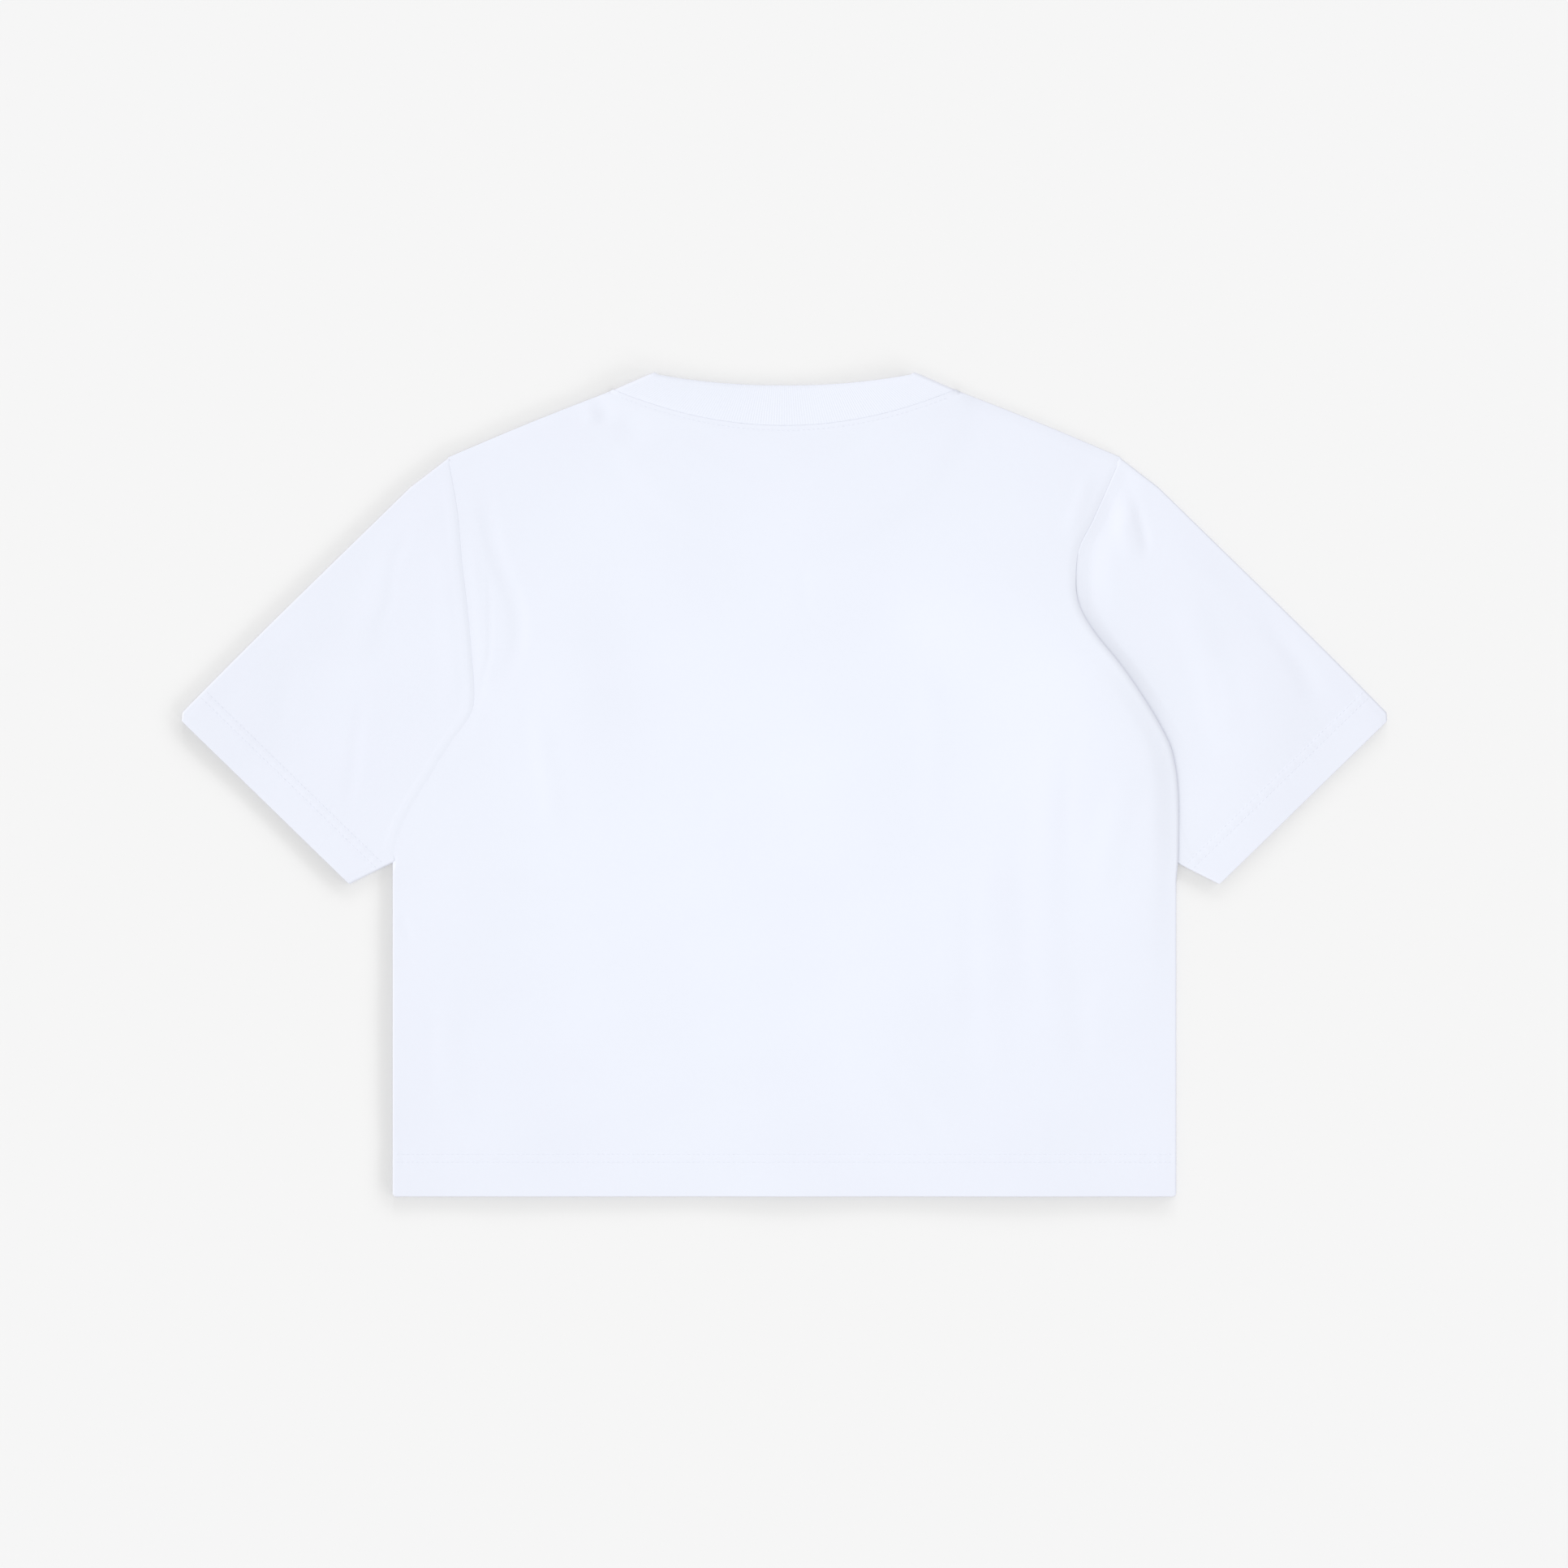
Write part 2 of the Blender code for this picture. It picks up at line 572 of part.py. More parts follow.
def neck_rib(material):
    """One closed band: its back half lies above, its front half below, folded over at both neck points."""
    sections = []

    def fold_over(side, turns):
        free_end = Vector((side * RIB_END_INNER.x, RIB_END_INNER.y))
        seam_end = Vector((side * RIB_END_SEAM.x, RIB_END_SEAM.y))
        neck_point, seam_point = on_plan(side, NECK_OUT, 0.0), on_plan(side, NECK_SEAM_OUT, NECK_SEAM_DROP)
        way = (seam_point - neck_point).normalized()
        free_out = neck_point - way * RIB_ROUND - free_end
        seam_out = seam_point + way * RIB_SQUARE - seam_end
        tight = (RIB_RADIUS - RIB_WALL) / RIB_RADIUS  # the inner face's radius as a share of the outer face's
        for turn in turns:
            out, rise = math.cos(math.radians(turn)), math.sin(math.radians(turn))
            faces = [(free_end + free_out * out * s, seam_end + seam_out * out * s) for s in (1.0, tight)]
            heights = [RIB_RADIUS * (1 + rise * s) for s in (1.0, tight)]
            sections.append(rib_section(*faces, *heights))

    for k, face in enumerate(zip(back_rib_line(False), back_rib_line(True))):
        middle = 1 - abs(2 * k / RIB_BACK_STEPS - 1)
        back_top = 2 * RIB_RADIUS - RIB_SAG * smoothstep(0.0, RIB_SAG_SHARE, middle)
        sections.append(rib_section(face, face, back_top, back_top - RIB_WALL))
    fold_over(1, RIB_FOLD_TURNS)
    for face in zip(reversed(front_rib_line(0.0)), reversed(front_rib_line(RIB_WIDTH))):
        sections.append(rib_section(face, face, 0.0, RIB_WALL))
    fold_over(-1, reversed(RIB_FOLD_TURNS))
    made = grid_mesh(sections, rings=True, loop=True)
    bmesh.ops.recalc_face_normals(made, faces=made.faces)
    return add_object("neck_rib", made, material)


def left_armhole(drop):
    return curve_at(BACK_LEFT, drop)


def right_armhole(drop):
    return curve_at(BACK_RIGHT, drop) - tuck_at(drop)


def main():
    clear_scene()
    cloth = cloth_material("white_jersey", CLOTH_COLOUR)
    rib = cloth_material("white_rib", RIB_COLOUR)
    back_panel(cloth)
    front_panel(cloth)
    sleeve("sleeve_left", -1, left_armhole, LEFT_SLEEVE_FOLDS, cloth)
    sleeve("sleeve_right", 1, right_armhole, RIGHT_SLEEVE_FOLDS, cloth)
    neck_rib(rib)


main()
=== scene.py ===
"""Looks of a white cropped T-shirt with set-in sleeves, laid flat with its back side up.

Each cut piece is a thin shell on its solid's form, with its creases, seams and stitches. Metres: X runs
across the garment, Y from the hem to the neck and Z up from the surface it lies on. On the pattern, `out` is
the distance from the centre line, negative on the left where a fold's path says so, and `drop` the distance
below the neck points, where the shoulders meet the neck opening.
"""

import math

import bpy
import numpy as np
from numpy.linalg import norm
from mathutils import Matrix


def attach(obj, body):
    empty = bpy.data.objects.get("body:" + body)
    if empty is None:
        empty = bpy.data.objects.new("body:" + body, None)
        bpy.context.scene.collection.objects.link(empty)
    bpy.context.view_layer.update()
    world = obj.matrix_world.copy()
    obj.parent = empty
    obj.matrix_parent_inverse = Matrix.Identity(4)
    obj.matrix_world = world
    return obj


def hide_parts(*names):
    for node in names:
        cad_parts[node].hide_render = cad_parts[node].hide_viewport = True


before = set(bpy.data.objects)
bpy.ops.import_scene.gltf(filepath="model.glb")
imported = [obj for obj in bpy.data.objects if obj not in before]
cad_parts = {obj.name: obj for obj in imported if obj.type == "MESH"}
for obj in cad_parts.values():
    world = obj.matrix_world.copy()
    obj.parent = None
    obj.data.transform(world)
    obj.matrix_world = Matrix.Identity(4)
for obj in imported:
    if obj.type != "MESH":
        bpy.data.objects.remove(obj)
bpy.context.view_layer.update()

# ---- the cut, as in the solids but for the edge of the fold over the right sleeve and the front's edge ----

GAP = 0.0003  # between two pieces
SEAM_GAP = 1.2 * GAP
LAYER_TOP = 0.0030  # upper face of cloth that lies on a second layer
BODY_WIDTH = 0.500
BODY_LENGTH = 0.526  # neck point to hem
HEM_CORNER_RADIUS = 0.0025
SHOULDER_OUT = 0.2145
SHOULDER_DROP = 0.0543
UNDERARM_DROP = 0.3130
NECK_Y = BODY_LENGTH / 2
HEM_Y = -BODY_LENGTH / 2
SIDE_X = BODY_WIDTH / 2

NECK_OUT = 0.0828
RIB_WIDTH = 0.0250
NECK_SEAM_OUT = 0.1090  # where the rib's seam crosses the shoulder
NECK_SEAM_DROP = 0.0114
NECK_CORNER_OUT = NECK_SEAM_OUT + SEAM_GAP
SHOULDER_BOW = 0.0008  # of the shoulders and the sleeves' upper folds, out from a straight line
BACK_NECK_DROP = 0.0084  # to the rib's free edge at the back centre, and at the front centre
FRONT_NECK_DROP = 0.0780
RIB_RELAXES = 0.0008  # how much wider the rib is at the back centre
BACK_SEAM_DROP = BACK_NECK_DROP + RIB_WIDTH + RIB_RELAXES
RIB_WALL = 0.0020
RIB_RADIUS = RIB_WALL + GAP / 2  # of the rib's outer face where it folds over at the neck points
RIB_END_FREE = np.array((0.0805, NECK_Y - 0.0016))  # where those folds begin, at its free edge and seam
RIB_END_SEAM = np.array((0.1065, NECK_Y - 0.0126))
RIB_SAG = 0.0012  # the back half lies lower at its centre
RIB_SAG_SHARE = 0.9  # of the way from a neck point to the centre, where it is all the way down
BACK_EDGE_CURVE = 2.2  # power of the back neck edge's rise toward the neck points
RIB_SHOWS = 0.0004  # rise of the back panel over the front half of the rib
RIB_SHOWS_WITHIN = (0.6 * RIB_WIDTH, 1.3 * RIB_WIDTH)  # of its middle line

BEVEL = ((0.2270, 0.0647), (0.2385, 0.0735))  # out and drop where a sleeve's upper fold bends
CUFF_TIP = ((0.3841, 0.2172), (0.3845, 0.2224))
CUFF_INNER = (0.2774, 0.3266)
SLEEVE_FOLD_RADIUS = LAYER_TOP / 2
SLEEVE_REACH = {-1: 0.0010, 1: 0.0040}  # how far a sleeve's corner at the underarm goes in under the body
CAP_REACH = 0.0008  # and that at the shoulder
SLEEVE_FADE = 0.10  # share of a sleeve's width in which its creases die out toward each fold
SETTLE = 0.025  # width of the panel's edge that lies as flat as the sleeve beside it

# Edges of the panels: drop, out
BACK_LEFT = (
    (SHOULDER_DROP, SHOULDER_OUT), (0.0880, 0.2085), (0.1215, 0.2055), (0.1510, 0.2020), (0.1810, 0.1993),
    (0.2050, 0.1978), (0.2180, 0.2000), (0.2364, 0.2127), (0.2623, 0.2288), (0.2861, 0.2425),
    (0.3060, 0.2489), (UNDERARM_DROP, SIDE_X),
)
BACK_RIGHT = (
    (SHOULDER_DROP, SHOULDER_OUT), (0.0739, 0.2060), (0.0956, 0.1962), (0.1116, 0.1882), (0.1313, 0.1858),
    (0.1480, 0.1878), (0.1649, 0.1968), (0.1867, 0.2142), (0.2069, 0.2284), (0.2265, 0.2402),
    (0.2421, 0.2472), (0.2660, 0.2510), (0.3078, 0.2512), (0.3250, SIDE_X),
)
FRONT_INSIDE = 0.0011  # how far the front panel's edge lies inside the back's rolled edge
FRONT_EDGE = (
    (SHOULDER_DROP, 0.2135), (0.0900, 0.2050), (0.1300, 0.1985), (0.1700, 0.1955), (0.2050, 0.1965),
    (0.2350, 0.2050), (0.2620, 0.2210), (0.2870, 0.2390), (0.3040, 0.2468),
    (UNDERARM_DROP, SIDE_X - 0.0013), (0.3210, SIDE_X - FRONT_INSIDE), (0.3300, SIDE_X - FRONT_INSIDE),
)
TUCK_DROP = 0.1400  # below this the body lies over the right sleeve in a fold
TUCK = 0.0120  # how far the seam runs in under it
TUCK_GROWS, TUCK_SHRINKS = 0.0400, 0.0480  # drop in which that grows, and shrinks to the underarm
TUCK_LIFT = (  # drop, height of that fold's crest above the flat cloth
    (0.1150, 0.0000), (0.1300, 0.0010), (0.1430, 0.0026), (0.1650, 0.0050), (0.1850, 0.0056),
    (0.2050, 0.0052), (0.2450, 0.0042), (0.2850, 0.0035), (0.3130, 0.0028), (0.3450, 0.0014),
    (0.4000, 0.0000),
)
TUCK_EDGE = ((0.1800, 1.00), (0.2200, 0.75), (0.2600, 0.50), (0.3250, 0.50))  # drop, edge's share of that
TUCK_CREST, TUCK_FADE = 0.0180, 0.1300  # from the edge to the crest and to the flat cloth
TUCK_ROLL = (  # drop, width in which the edge turns down to the sleeve
    (0.1150, 0.0040), (0.1500, 0.0058), (0.2000, 0.0050), (0.2400, 0.0038), (0.2800, 0.0028),
    (0.3130, 0.0018), (0.3300, 0.0006),
)
SIDE_ROLL = 0.0006  # width of the other rolled edges
SWELL = (  # drop, height of the sleeve's swell under that edge
    (0.1200, 0.0), (0.1480, 0.0013), (0.1670, 0.0024), (0.1850, 0.0026), (0.2030, 0.0019),
    (0.2200, 0.0009), (0.2450, 0.0),
)
SWELL_WIDTH, SWELL_CURVE = 0.0104, 1.5  # from the edge to the flat sleeve, and the power of its fall
VALLEY = (  # drop, depth of the valley along the seam above that fold
    (0.0560, 0.0), (0.0780, 0.0008), (0.1000, 0.0012), (0.1250, 0.0011), (0.1450, 0.0005), (0.1600, 0.0),
)
VALLEY_BODY, VALLEY_SLEEVE = (-0.0060, 0.0055), (0.0070, 0.0240)  # from the seam, toward the sleeve

# The back panel's edge turns between flat and rolled from the first drop, or out, to the second.
LEFT_ROLL = (UNDERARM_DROP - 0.0060, UNDERARM_DROP + 0.0090)
RIGHT_ROLL = (0.1180, 0.1420)
SHOULDER_ROLL = (NECK_SEAM_OUT + 0.0004, NECK_SEAM_OUT + 0.0045)
RIM_FALL = (0.3170, 0.3300)  # drops: there the right edge comes down off the sleeve to the surface
ROLL_SHARE = 0.8  # of a rolled edge's height that is round, above its straight lip

# ---- creases: half width, height (below 0 for a trough), and out and drop of each point of the crest ----

TOP_FOLDS = (
    # the pleat beside the left armhole, the two valleys past it, and the slope to the middle
    (0.0050, 0.00008, (-0.2005, 0.100), (-0.1965, 0.135), (-0.1940, 0.165), (-0.1930, 0.200)),
    (
        0.0036, -0.00016,
        (-0.1890, 0.118), (-0.1878, 0.151), (-0.1878, 0.177), (-0.1915, 0.194), (-0.1960, 0.214),
    ),
    (
        0.0090, -0.00045,
        (-0.1930, 0.066), (-0.1885, 0.095), (-0.1830, 0.118), (-0.1710, 0.150), (-0.1712, 0.178),
        (-0.1860, 0.205),
    ),
    (0.0380, 0.00050, (-0.1350, 0.090), (-0.1330, 0.170), (-0.1250, 0.260)),
    # soft slants below them
    (0.0120, 0.00032, (-0.1600, 0.215), (-0.1500, 0.270), (-0.1470, 0.300)),
    (0.0060, -0.00014, (-0.1693, 0.205), (-0.1651, 0.222), (-0.1594, 0.250), (-0.1527, 0.286)),
    (0.0050, -0.00009, (-0.1434, 0.230), (-0.1475, 0.252)),
    (0.0022, -0.00013, (-0.1972, 0.2193), (-0.1812, 0.2266)),
    (0.0100, 0.00027, (-0.2250, 0.320), (-0.1600, 0.322)),
    (0.0120, 0.00027, (-0.2200, 0.352), (-0.1000, 0.346)),
    (0.0055, -0.00018, (-0.2445, 0.345), (-0.2370, 0.366)),
    (0.0150, 0.00020, (-0.2100, 0.380), (-0.2150, 0.430), (-0.2060, 0.490)),
    (0.0060, -0.00010, (-0.2250, 0.400), (-0.2230, 0.460)),
    # under the left neck corner
    (0.0080, 0.00060, (-0.1300, 0.0180), (-0.1240, 0.0260), (-0.1210, 0.0350)),
    (0.0090, -0.00055, (-0.1160, 0.0170), (-0.1120, 0.0350)),
    (0.0180, -0.00060, (-0.1040, 0.0250), (-0.0950, 0.0500)),
    # the body beside the right sleeve
    (0.0080, 0.00033, (0.1960, 0.060), (0.1880, 0.085), (0.1790, 0.110)),
    (0.0140, 0.00030, (0.2200, 0.250), (0.2100, 0.290), (0.1990, 0.340)),
    # soft hanging folds toward the lower right, and the valleys between them
    (0.0150, 0.00030, (0.1700, 0.220), (0.1680, 0.300), (0.1700, 0.440)),
    (0.0150, 0.00018, (0.1300, 0.280), (0.1320, 0.370), (0.1350, 0.480)),
    (0.0130, 0.00012, (0.1050, 0.330), (0.1060, 0.420)),
    (0.0080, -0.00013, (0.1486, 0.285), (0.1500, 0.340), (0.1530, 0.405)),
    (0.0070, -0.00014, (0.1840, 0.215), (0.1800, 0.270), (0.1795, 0.325)),
    (0.0140, -0.00025, (0.1950, 0.375), (0.1880, 0.410), (0.1930, 0.450)),
    (0.0080, -0.00010, (0.1180, 0.300), (0.1190, 0.380), (0.1150, 0.450)),
    (0.0140, 0.00018, (0.0850, 0.170), (0.0950, 0.230), (0.0930, 0.300)),
    # faint ones in the middle and above the hem
    (0.0050, -0.00013, (0.0124, 0.118), (0.0130, 0.160)),
    (0.0060, -0.00013, (-0.0470, 0.258), (-0.0500, 0.300)),
    (0.0130, -0.00022, (-0.1500, 0.430), (-0.0800, 0.460), (-0.0100, 0.470)),
    (0.0090, -0.00018, (0.0600, 0.440), (0.0900, 0.475), (0.0980, 0.500)),
    (0.0040, 0.00010, (0.1640, 0.470), (0.1650, 0.515)),
    # the left sleeve
    (0.0120, 0.00025, (-0.2190, 0.090), (-0.2150, 0.140), (-0.2110, 0.190), (-0.2200, 0.230)),
    (0.0150, 0.00030, (-0.2480, 0.110), (-0.2620, 0.150), (-0.2780, 0.190)),
    (0.0060, -0.00020, (-0.2345, 0.092), (-0.2485, 0.1215), (-0.2526, 0.149), (-0.2655, 0.172)),
    (0.0070, -0.00022, (-0.2680, 0.200), (-0.2740, 0.245), (-0.2790, 0.285)),
    (0.0100, -0.00015, (-0.3150, 0.185), (-0.3230, 0.235)),
    (0.0450, -0.00100, (-0.2980, 0.165), (-0.3050, 0.210), (-0.3150, 0.260)),
    # the cap of the right sleeve and the hollows across that sleeve
    (0.0110, 0.00065, (0.2130, 0.066), (0.2170, 0.084), (0.2190, 0.104), (0.2240, 0.125)),
    (0.0170, 0.00040, (0.2500, 0.130), (0.2720, 0.190), (0.2850, 0.250)),
    (0.0050, -0.00040, (0.2179, 0.068), (0.2246, 0.086), (0.2298, 0.105), (0.2314, 0.1215)),
    (0.0120, -0.00050, (0.3020, 0.146), (0.3250, 0.180), (0.3437, 0.218)),
    (0.0450, 0.00100, (0.2980, 0.165), (0.3050, 0.210), (0.3150, 0.260)),
    (0.0070, -0.00014, (0.2740, 0.185), (0.2790, 0.225)),
)
# The side that lies on the surface has troughs alone: there the cloth stands off the surface.
FRONT_CREASES = (
    (0.0075, 0.0008, (-0.2050, 0.250), (-0.1650, 0.215), (-0.1300, 0.170)),
    (0.0060, 0.0006, (-0.2150, 0.290), (-0.1800, 0.300), (-0.1350, 0.285)),
    (0.0080, 0.0008, (0.2020, 0.255), (0.1700, 0.225), (0.1450, 0.175), (0.1350, 0.130)),
    (0.0065, 0.0007, (0.2180, 0.300), (0.1850, 0.330), (0.1600, 0.375)),
    (0.0085, 0.0007, (0.1350, 0.300), (0.1420, 0.370), (0.1400, 0.450)),
    (0.0080, 0.0006, (-0.1250, 0.340), (-0.1300, 0.420), (-0.1240, 0.480)),
    (0.0070, 0.0005, (-0.0550, 0.150), (-0.0450, 0.200), (-0.0480, 0.260)),
    (0.0060, 0.0004, (0.0350, 0.170), (0.0500, 0.230)),
    (0.0060, 0.0006, (-0.2200, 0.400), (-0.1900, 0.425)),
    (0.0060, 0.0005, (0.2250, 0.430), (0.2000, 0.450), (0.1850, 0.480)),
    (0.0085, 0.0004, (-0.0700, 0.420), (0.0100, 0.440), (0.0650, 0.425)),
    (0.0060, 0.0006, (0.1650, 0.070), (0.1720, 0.110)),
    (0.0055, 0.0005, (-0.1700, 0.075), (-0.1650, 0.105)),
)
LOWER_SLEEVE_CREASES = (  # the same on both sleeves, mirrored
    (0.0070, 0.0007, (0.2250, 0.110), (0.2450, 0.150), (0.2550, 0.190)),
    (0.0060, 0.0006, (0.2500, 0.230), (0.2750, 0.235), (0.3000, 0.225)),
    (0.0070, 0.0005, (0.2900, 0.150), (0.3050, 0.185), (0.3120, 0.215)),
)
FOLD_TAPER = 0.3  # share of a crease's length in which each end rises
PATH_STEPS = 8  # straight pieces between two points of a crease's path
UNDULATIONS, UNDULATION_LENGTHS, UNDULATION_HEIGHT = 14, (0.05, 0.16), 0.00009  # each wave's height
UNDULATION_SEED = 3

# ---- sewing ----

CLOTH_WALL = 0.0009
HEM_WALL, CUFF_WALL = 0.00135, 0.00105  # two layers, pressed
WALL_STEP = 0.0010  # half the width in which the wall changes where the turned-up cloth ends
RIM = 0.20  # how far the rounded rim of a shell stands out past its grid, as a share of the wall
SEWN_RIM = 0.05  # and that of the back panel above its hem
TUCKED_IN = 0.0008  # a sleeve's edge goes this far under the panel's, and this far down
TUCKED_BETWEEN = (0.0001, -0.0008)  # distances past the seam between which it goes down
CORNER_CLOSES = 0.0120  # the sleeve's edge runs to its corner at the underarm in this drop
NECK_REACH = SEAM_GAP  # the back panel's edge goes this far up, to meet the rib
BODY_HEM = 0.0270  # height of the hem
CUFF_HEM = 0.0240
HEM_STEP, HEM_SLOPE = 0.00016, 0.0012  # rise of the outer face over the turned-up cloth, and half its width
HEM_FADE = 0.030  # share of a sleeve's width in which that step dies out toward its folds
SEAM_FADE = 0.020  # and in which its seam does
NEEDLES = 0.0050  # between the two rows of a hem's stitches
ROW_DIP, ROW_DIP_WIDTH = 0.00009, 0.0009  # a row of stitches pulls the cloth down
LEFT_SEAM_DIP = (  # drop, depth of the groove along the left armhole, which is deep where the cloth bends
    (0.0543, 0.00006), (0.0800, 0.00012), (0.1000, 0.00022), (0.1500, 0.00028), (0.2000, 0.00032),
    (0.2250, 0.00016), (0.2700, 0.00008), (0.3130, 0.00006),
)
RIGHT_SEAM_DIP = ((0.0543, 0.00008), (0.3130, 0.00008))
NECK_SEAM_DIP = 0.00006
NECK_LIFT = 0.018  # the panel rises to the rib within this distance
SEAM_DIP_WIDTH = 0.0017
BENT_DIP_WIDTH = 4 * SEAM_DIP_WIDTH  # of the left armhole's groove on the body
SEAM_ENDS = 0.006  # that groove ends within this drop above and below the underarm
ALLOWANCE, ALLOWANCE_RISE = 0.0085, 0.00012  # the armhole's seam allowance lies under the sleeve's edge
ALLOWANCE_SLOPES = (0.0035, 0.0030)  # widths in which the cloth rises over it, and falls again
NECK_ROW = 0.0030  # a row of stitches beside the rib's seam
NECK_ROW_ENDS = 0.0010  # before the shoulder
STITCH_LENGTH, STITCH_SPACE, STITCH_RADIUS = 0.0025, 0.0007, 0.00018
STITCH_UNEVENNESS = 0.00006
STITCH_SIDES = 6
STRAIGHT_SHARE = 0.97  # a stitch whose chord is a smaller share of its way on the cloth is left out
STITCH_RINGS = (  # place as a share of a stitch's length, and size and lift as shares of its radius
    (-0.50, 0.30, -0.90), (-0.36, 0.80, -0.10), (0.00, 1.00, 0.35), (0.36, 0.80, -0.10), (0.50, 0.30, -0.90),
)
BACK_SEED, FRONT_SEED, CUFF_SEED = 20, 50, 80
NECK_SEED = 10  # added to a panel's for the row beside its neck seam
RIB_PITCH, RIB_RELIEF = 0.0015, 0.00010  # between the rib's ridges, and their height
RIB_CROWN = 0.0003  # the band is this much thicker in its middle
RIB_EDGE_DIP = 0.0001
PUCKER, PUCKER_LENGTHS, PUCKER_REACH = 0.00004, (0.0055, 0.0125), 0.006  # ripples at a hem's stitches

# ---- the grids ----

LIP = GAP + RIM * HEM_WALL  # height of a rolled edge's grid at its end
ROLL_TURNS = (None, *np.arange(0.0, 91.0, 11.25))  # degrees round a rolled edge, after its straight lip
FLAT_LINES = 0.0006 * np.r_[0.0, 0.2, np.arange(1.0, len(ROLL_TURNS) - 1)]  # from an edge that stays flat
FOLD_TURNS = np.arange(75.0, -76.0, -15.0)  # degrees round a sleeve's folds
FINE, MEDIUM, COARSE = 0.0010, 0.0021, 0.0036
# Zones of rows and columns: (end, step). A panel's rows run up from its hem, and its columns in from a side.
BACK_ROWS = ((0.0004, 0.0002), (0.0200, 2 * FINE), (0.0320, FINE), (0.4620, 0.0026), (0.4717, FINE))
ROWS_IN_ROLL = 7  # the last of them, replaced by the lines round the shoulders' edge
BACK_OUTER_COLUMNS = ((0.0120, FINE), (0.0500, MEDIUM), (0.1050, 0.0030))  # in to the neck corner
BACK_INNER_COLUMNS = ((0.1000, COARSE),)
FRONT_ROWS = ((0.0200, 2 * FINE), (0.0320, FINE), (0.4717, 0.0032))
FRONT_COLUMNS = ((0.0060, FINE), (0.0400, MEDIUM), (0.1050, COARSE))
FRONT_NECK_TURNS = np.linspace(84.0, 0.0, 40)  # degrees along half of its neck
SLEEVE_RINGS = ((0.0100, FINE), (0.2000, 0.0024), (0.2365, 0.0013), (0.2370, 0.00025))
SLEEVE_LINES = ((0.0120, FINE), (0.2350, 0.0022), (0.2500, FINE))
HEM_CORNER_FADE = 60  # power with which the hem's round corners fade out upward
SLEEVE_BOW_CURVE = 1.5  # power that moves a sleeve's bow toward its cuff
SLOPE_STEP = 0.001  # within which an edge's slope is taken
RIB_BACK_SECTIONS, RIB_FRONT_SECTIONS = 667, 800
RIB_FOLD_TURNS = np.linspace(84, -84, 22)  # degrees over its folds, and round its free edge
RIB_EDGE_TURNS = np.arange(-67.5, 90.0, 22.5)
RIB_ACROSS = (0.0035, 0.0070, 0.0105, 0.0140, 0.0175, 0.0205, 0.0230, 0.0246)  # on its outer face
RIB_BACK_ACROSS = (0.0235, 0.0125, 0.0035)  # and on its inner face

# ---- looks ----

CLOTH_COLOUR = (0.804, 0.820, 0.900)
CLOTH_SHADE = (0.796, 0.803, 0.895)
RIB_COLOUR = (0.812, 0.829, 0.908)
THREAD_COLOUR, THREAD_ROUGHNESS = (0.815, 0.826, 0.900), 0.8
CLOTH_ROUGHNESS, CLOTH_SPECULAR = 0.92, 0.12
SHEEN, SHEEN_ROUGHNESS = 0.08, 0.6
TONE_SCALE, TONE_DETAIL = 9.0, 4.0
FIBRE_SCALE = 1800.0
WALE, COURSE = 0.0009, 0.0007  # the jersey's loops across and along
LOOP_SLANT, LOOP_SHARE = 0.55, 0.35  # of the loops' arms, and of the loops in the knit's height
BUMP_DISTANCE, JERSEY_BUMP, RIB_BUMP = 0.00012, 0.20, 0.12
SLEEVE_GRAIN = -46.0  # degrees
FLOOR_GREY, FLOOR_SIZE, FLOOR_Z = 0.52, 30.0, -0.0001
FRAME_WIDTH = 1.0000  # of the photo, at the cloth
FRAME_MIDDLE = (-0.0003, 0.0002)
LENS, SENSOR = 100.0, 36.0
WORLD_STRENGTH = 0.82
# Suns have a bearing (0 is +Y, 90 is +X), an elevation, a size in degrees and a strength.
FLOOR_SUNS = tuple((bearing, 13.0, 12.0, 0.93) for bearing in range(0, 136, 27))
FLOOR_FILL = (0.0, 90.0, 10.0, 1.74)  # casts no shadow
CLOTH_SUN = (-86.0, 32.0, 55.0, 1.19)
LAMP_PLACE, LAMP_COLOUR = (0.00, -0.02, 0.62), (0.78, 1.00, 0.92)
LAMP_RADIUS, LAMP_POWER = 0.10, 1.79


# ---- numbers ----


def lerp(a, b, share):
    return a + (b - a) * share


def smoothstep(low, high, value):
    share = np.clip((value - low) / (high - low), 0.0, 1.0)
    return share * share * (3 - 2 * share)


def curve_at(rows, at):
    """The second column of a table at these values of its first, on a smooth curve through its rows."""
    keys, values = np.array(rows, float).T
    before = np.maximum(np.arange(len(keys)) - 1, 0)
    after = np.minimum(np.arange(len(keys)) + 1, len(keys) - 1)
    slopes = (values[after] - values[before]) / (keys[after] - keys[before])
    at = np.clip(at, keys[0], keys[-1])
    i = np.clip(np.searchsorted(keys, at, side="right") - 1, 0, len(keys) - 2)
    span = keys[i + 1] - keys[i]
    t = (at - keys[i]) / span
    return (
        (2 * t**3 - 3 * t**2 + 1) * values[i]
        + (t**3 - 2 * t**2 + t) * span * slopes[i]
        + (3 * t**2 - 2 * t**3) * values[i + 1]
        + (t**3 - t**2) * span * slopes[i + 1]
    )


def smooth_path(path):
    """A crease's path with more points, on a smooth curve through its own."""
    last = len(path) - 1
    at = np.linspace(0, last, PATH_STEPS * last + 1)
    return np.stack([curve_at(list(enumerate(places)), at) for places in zip(*path)], 1)


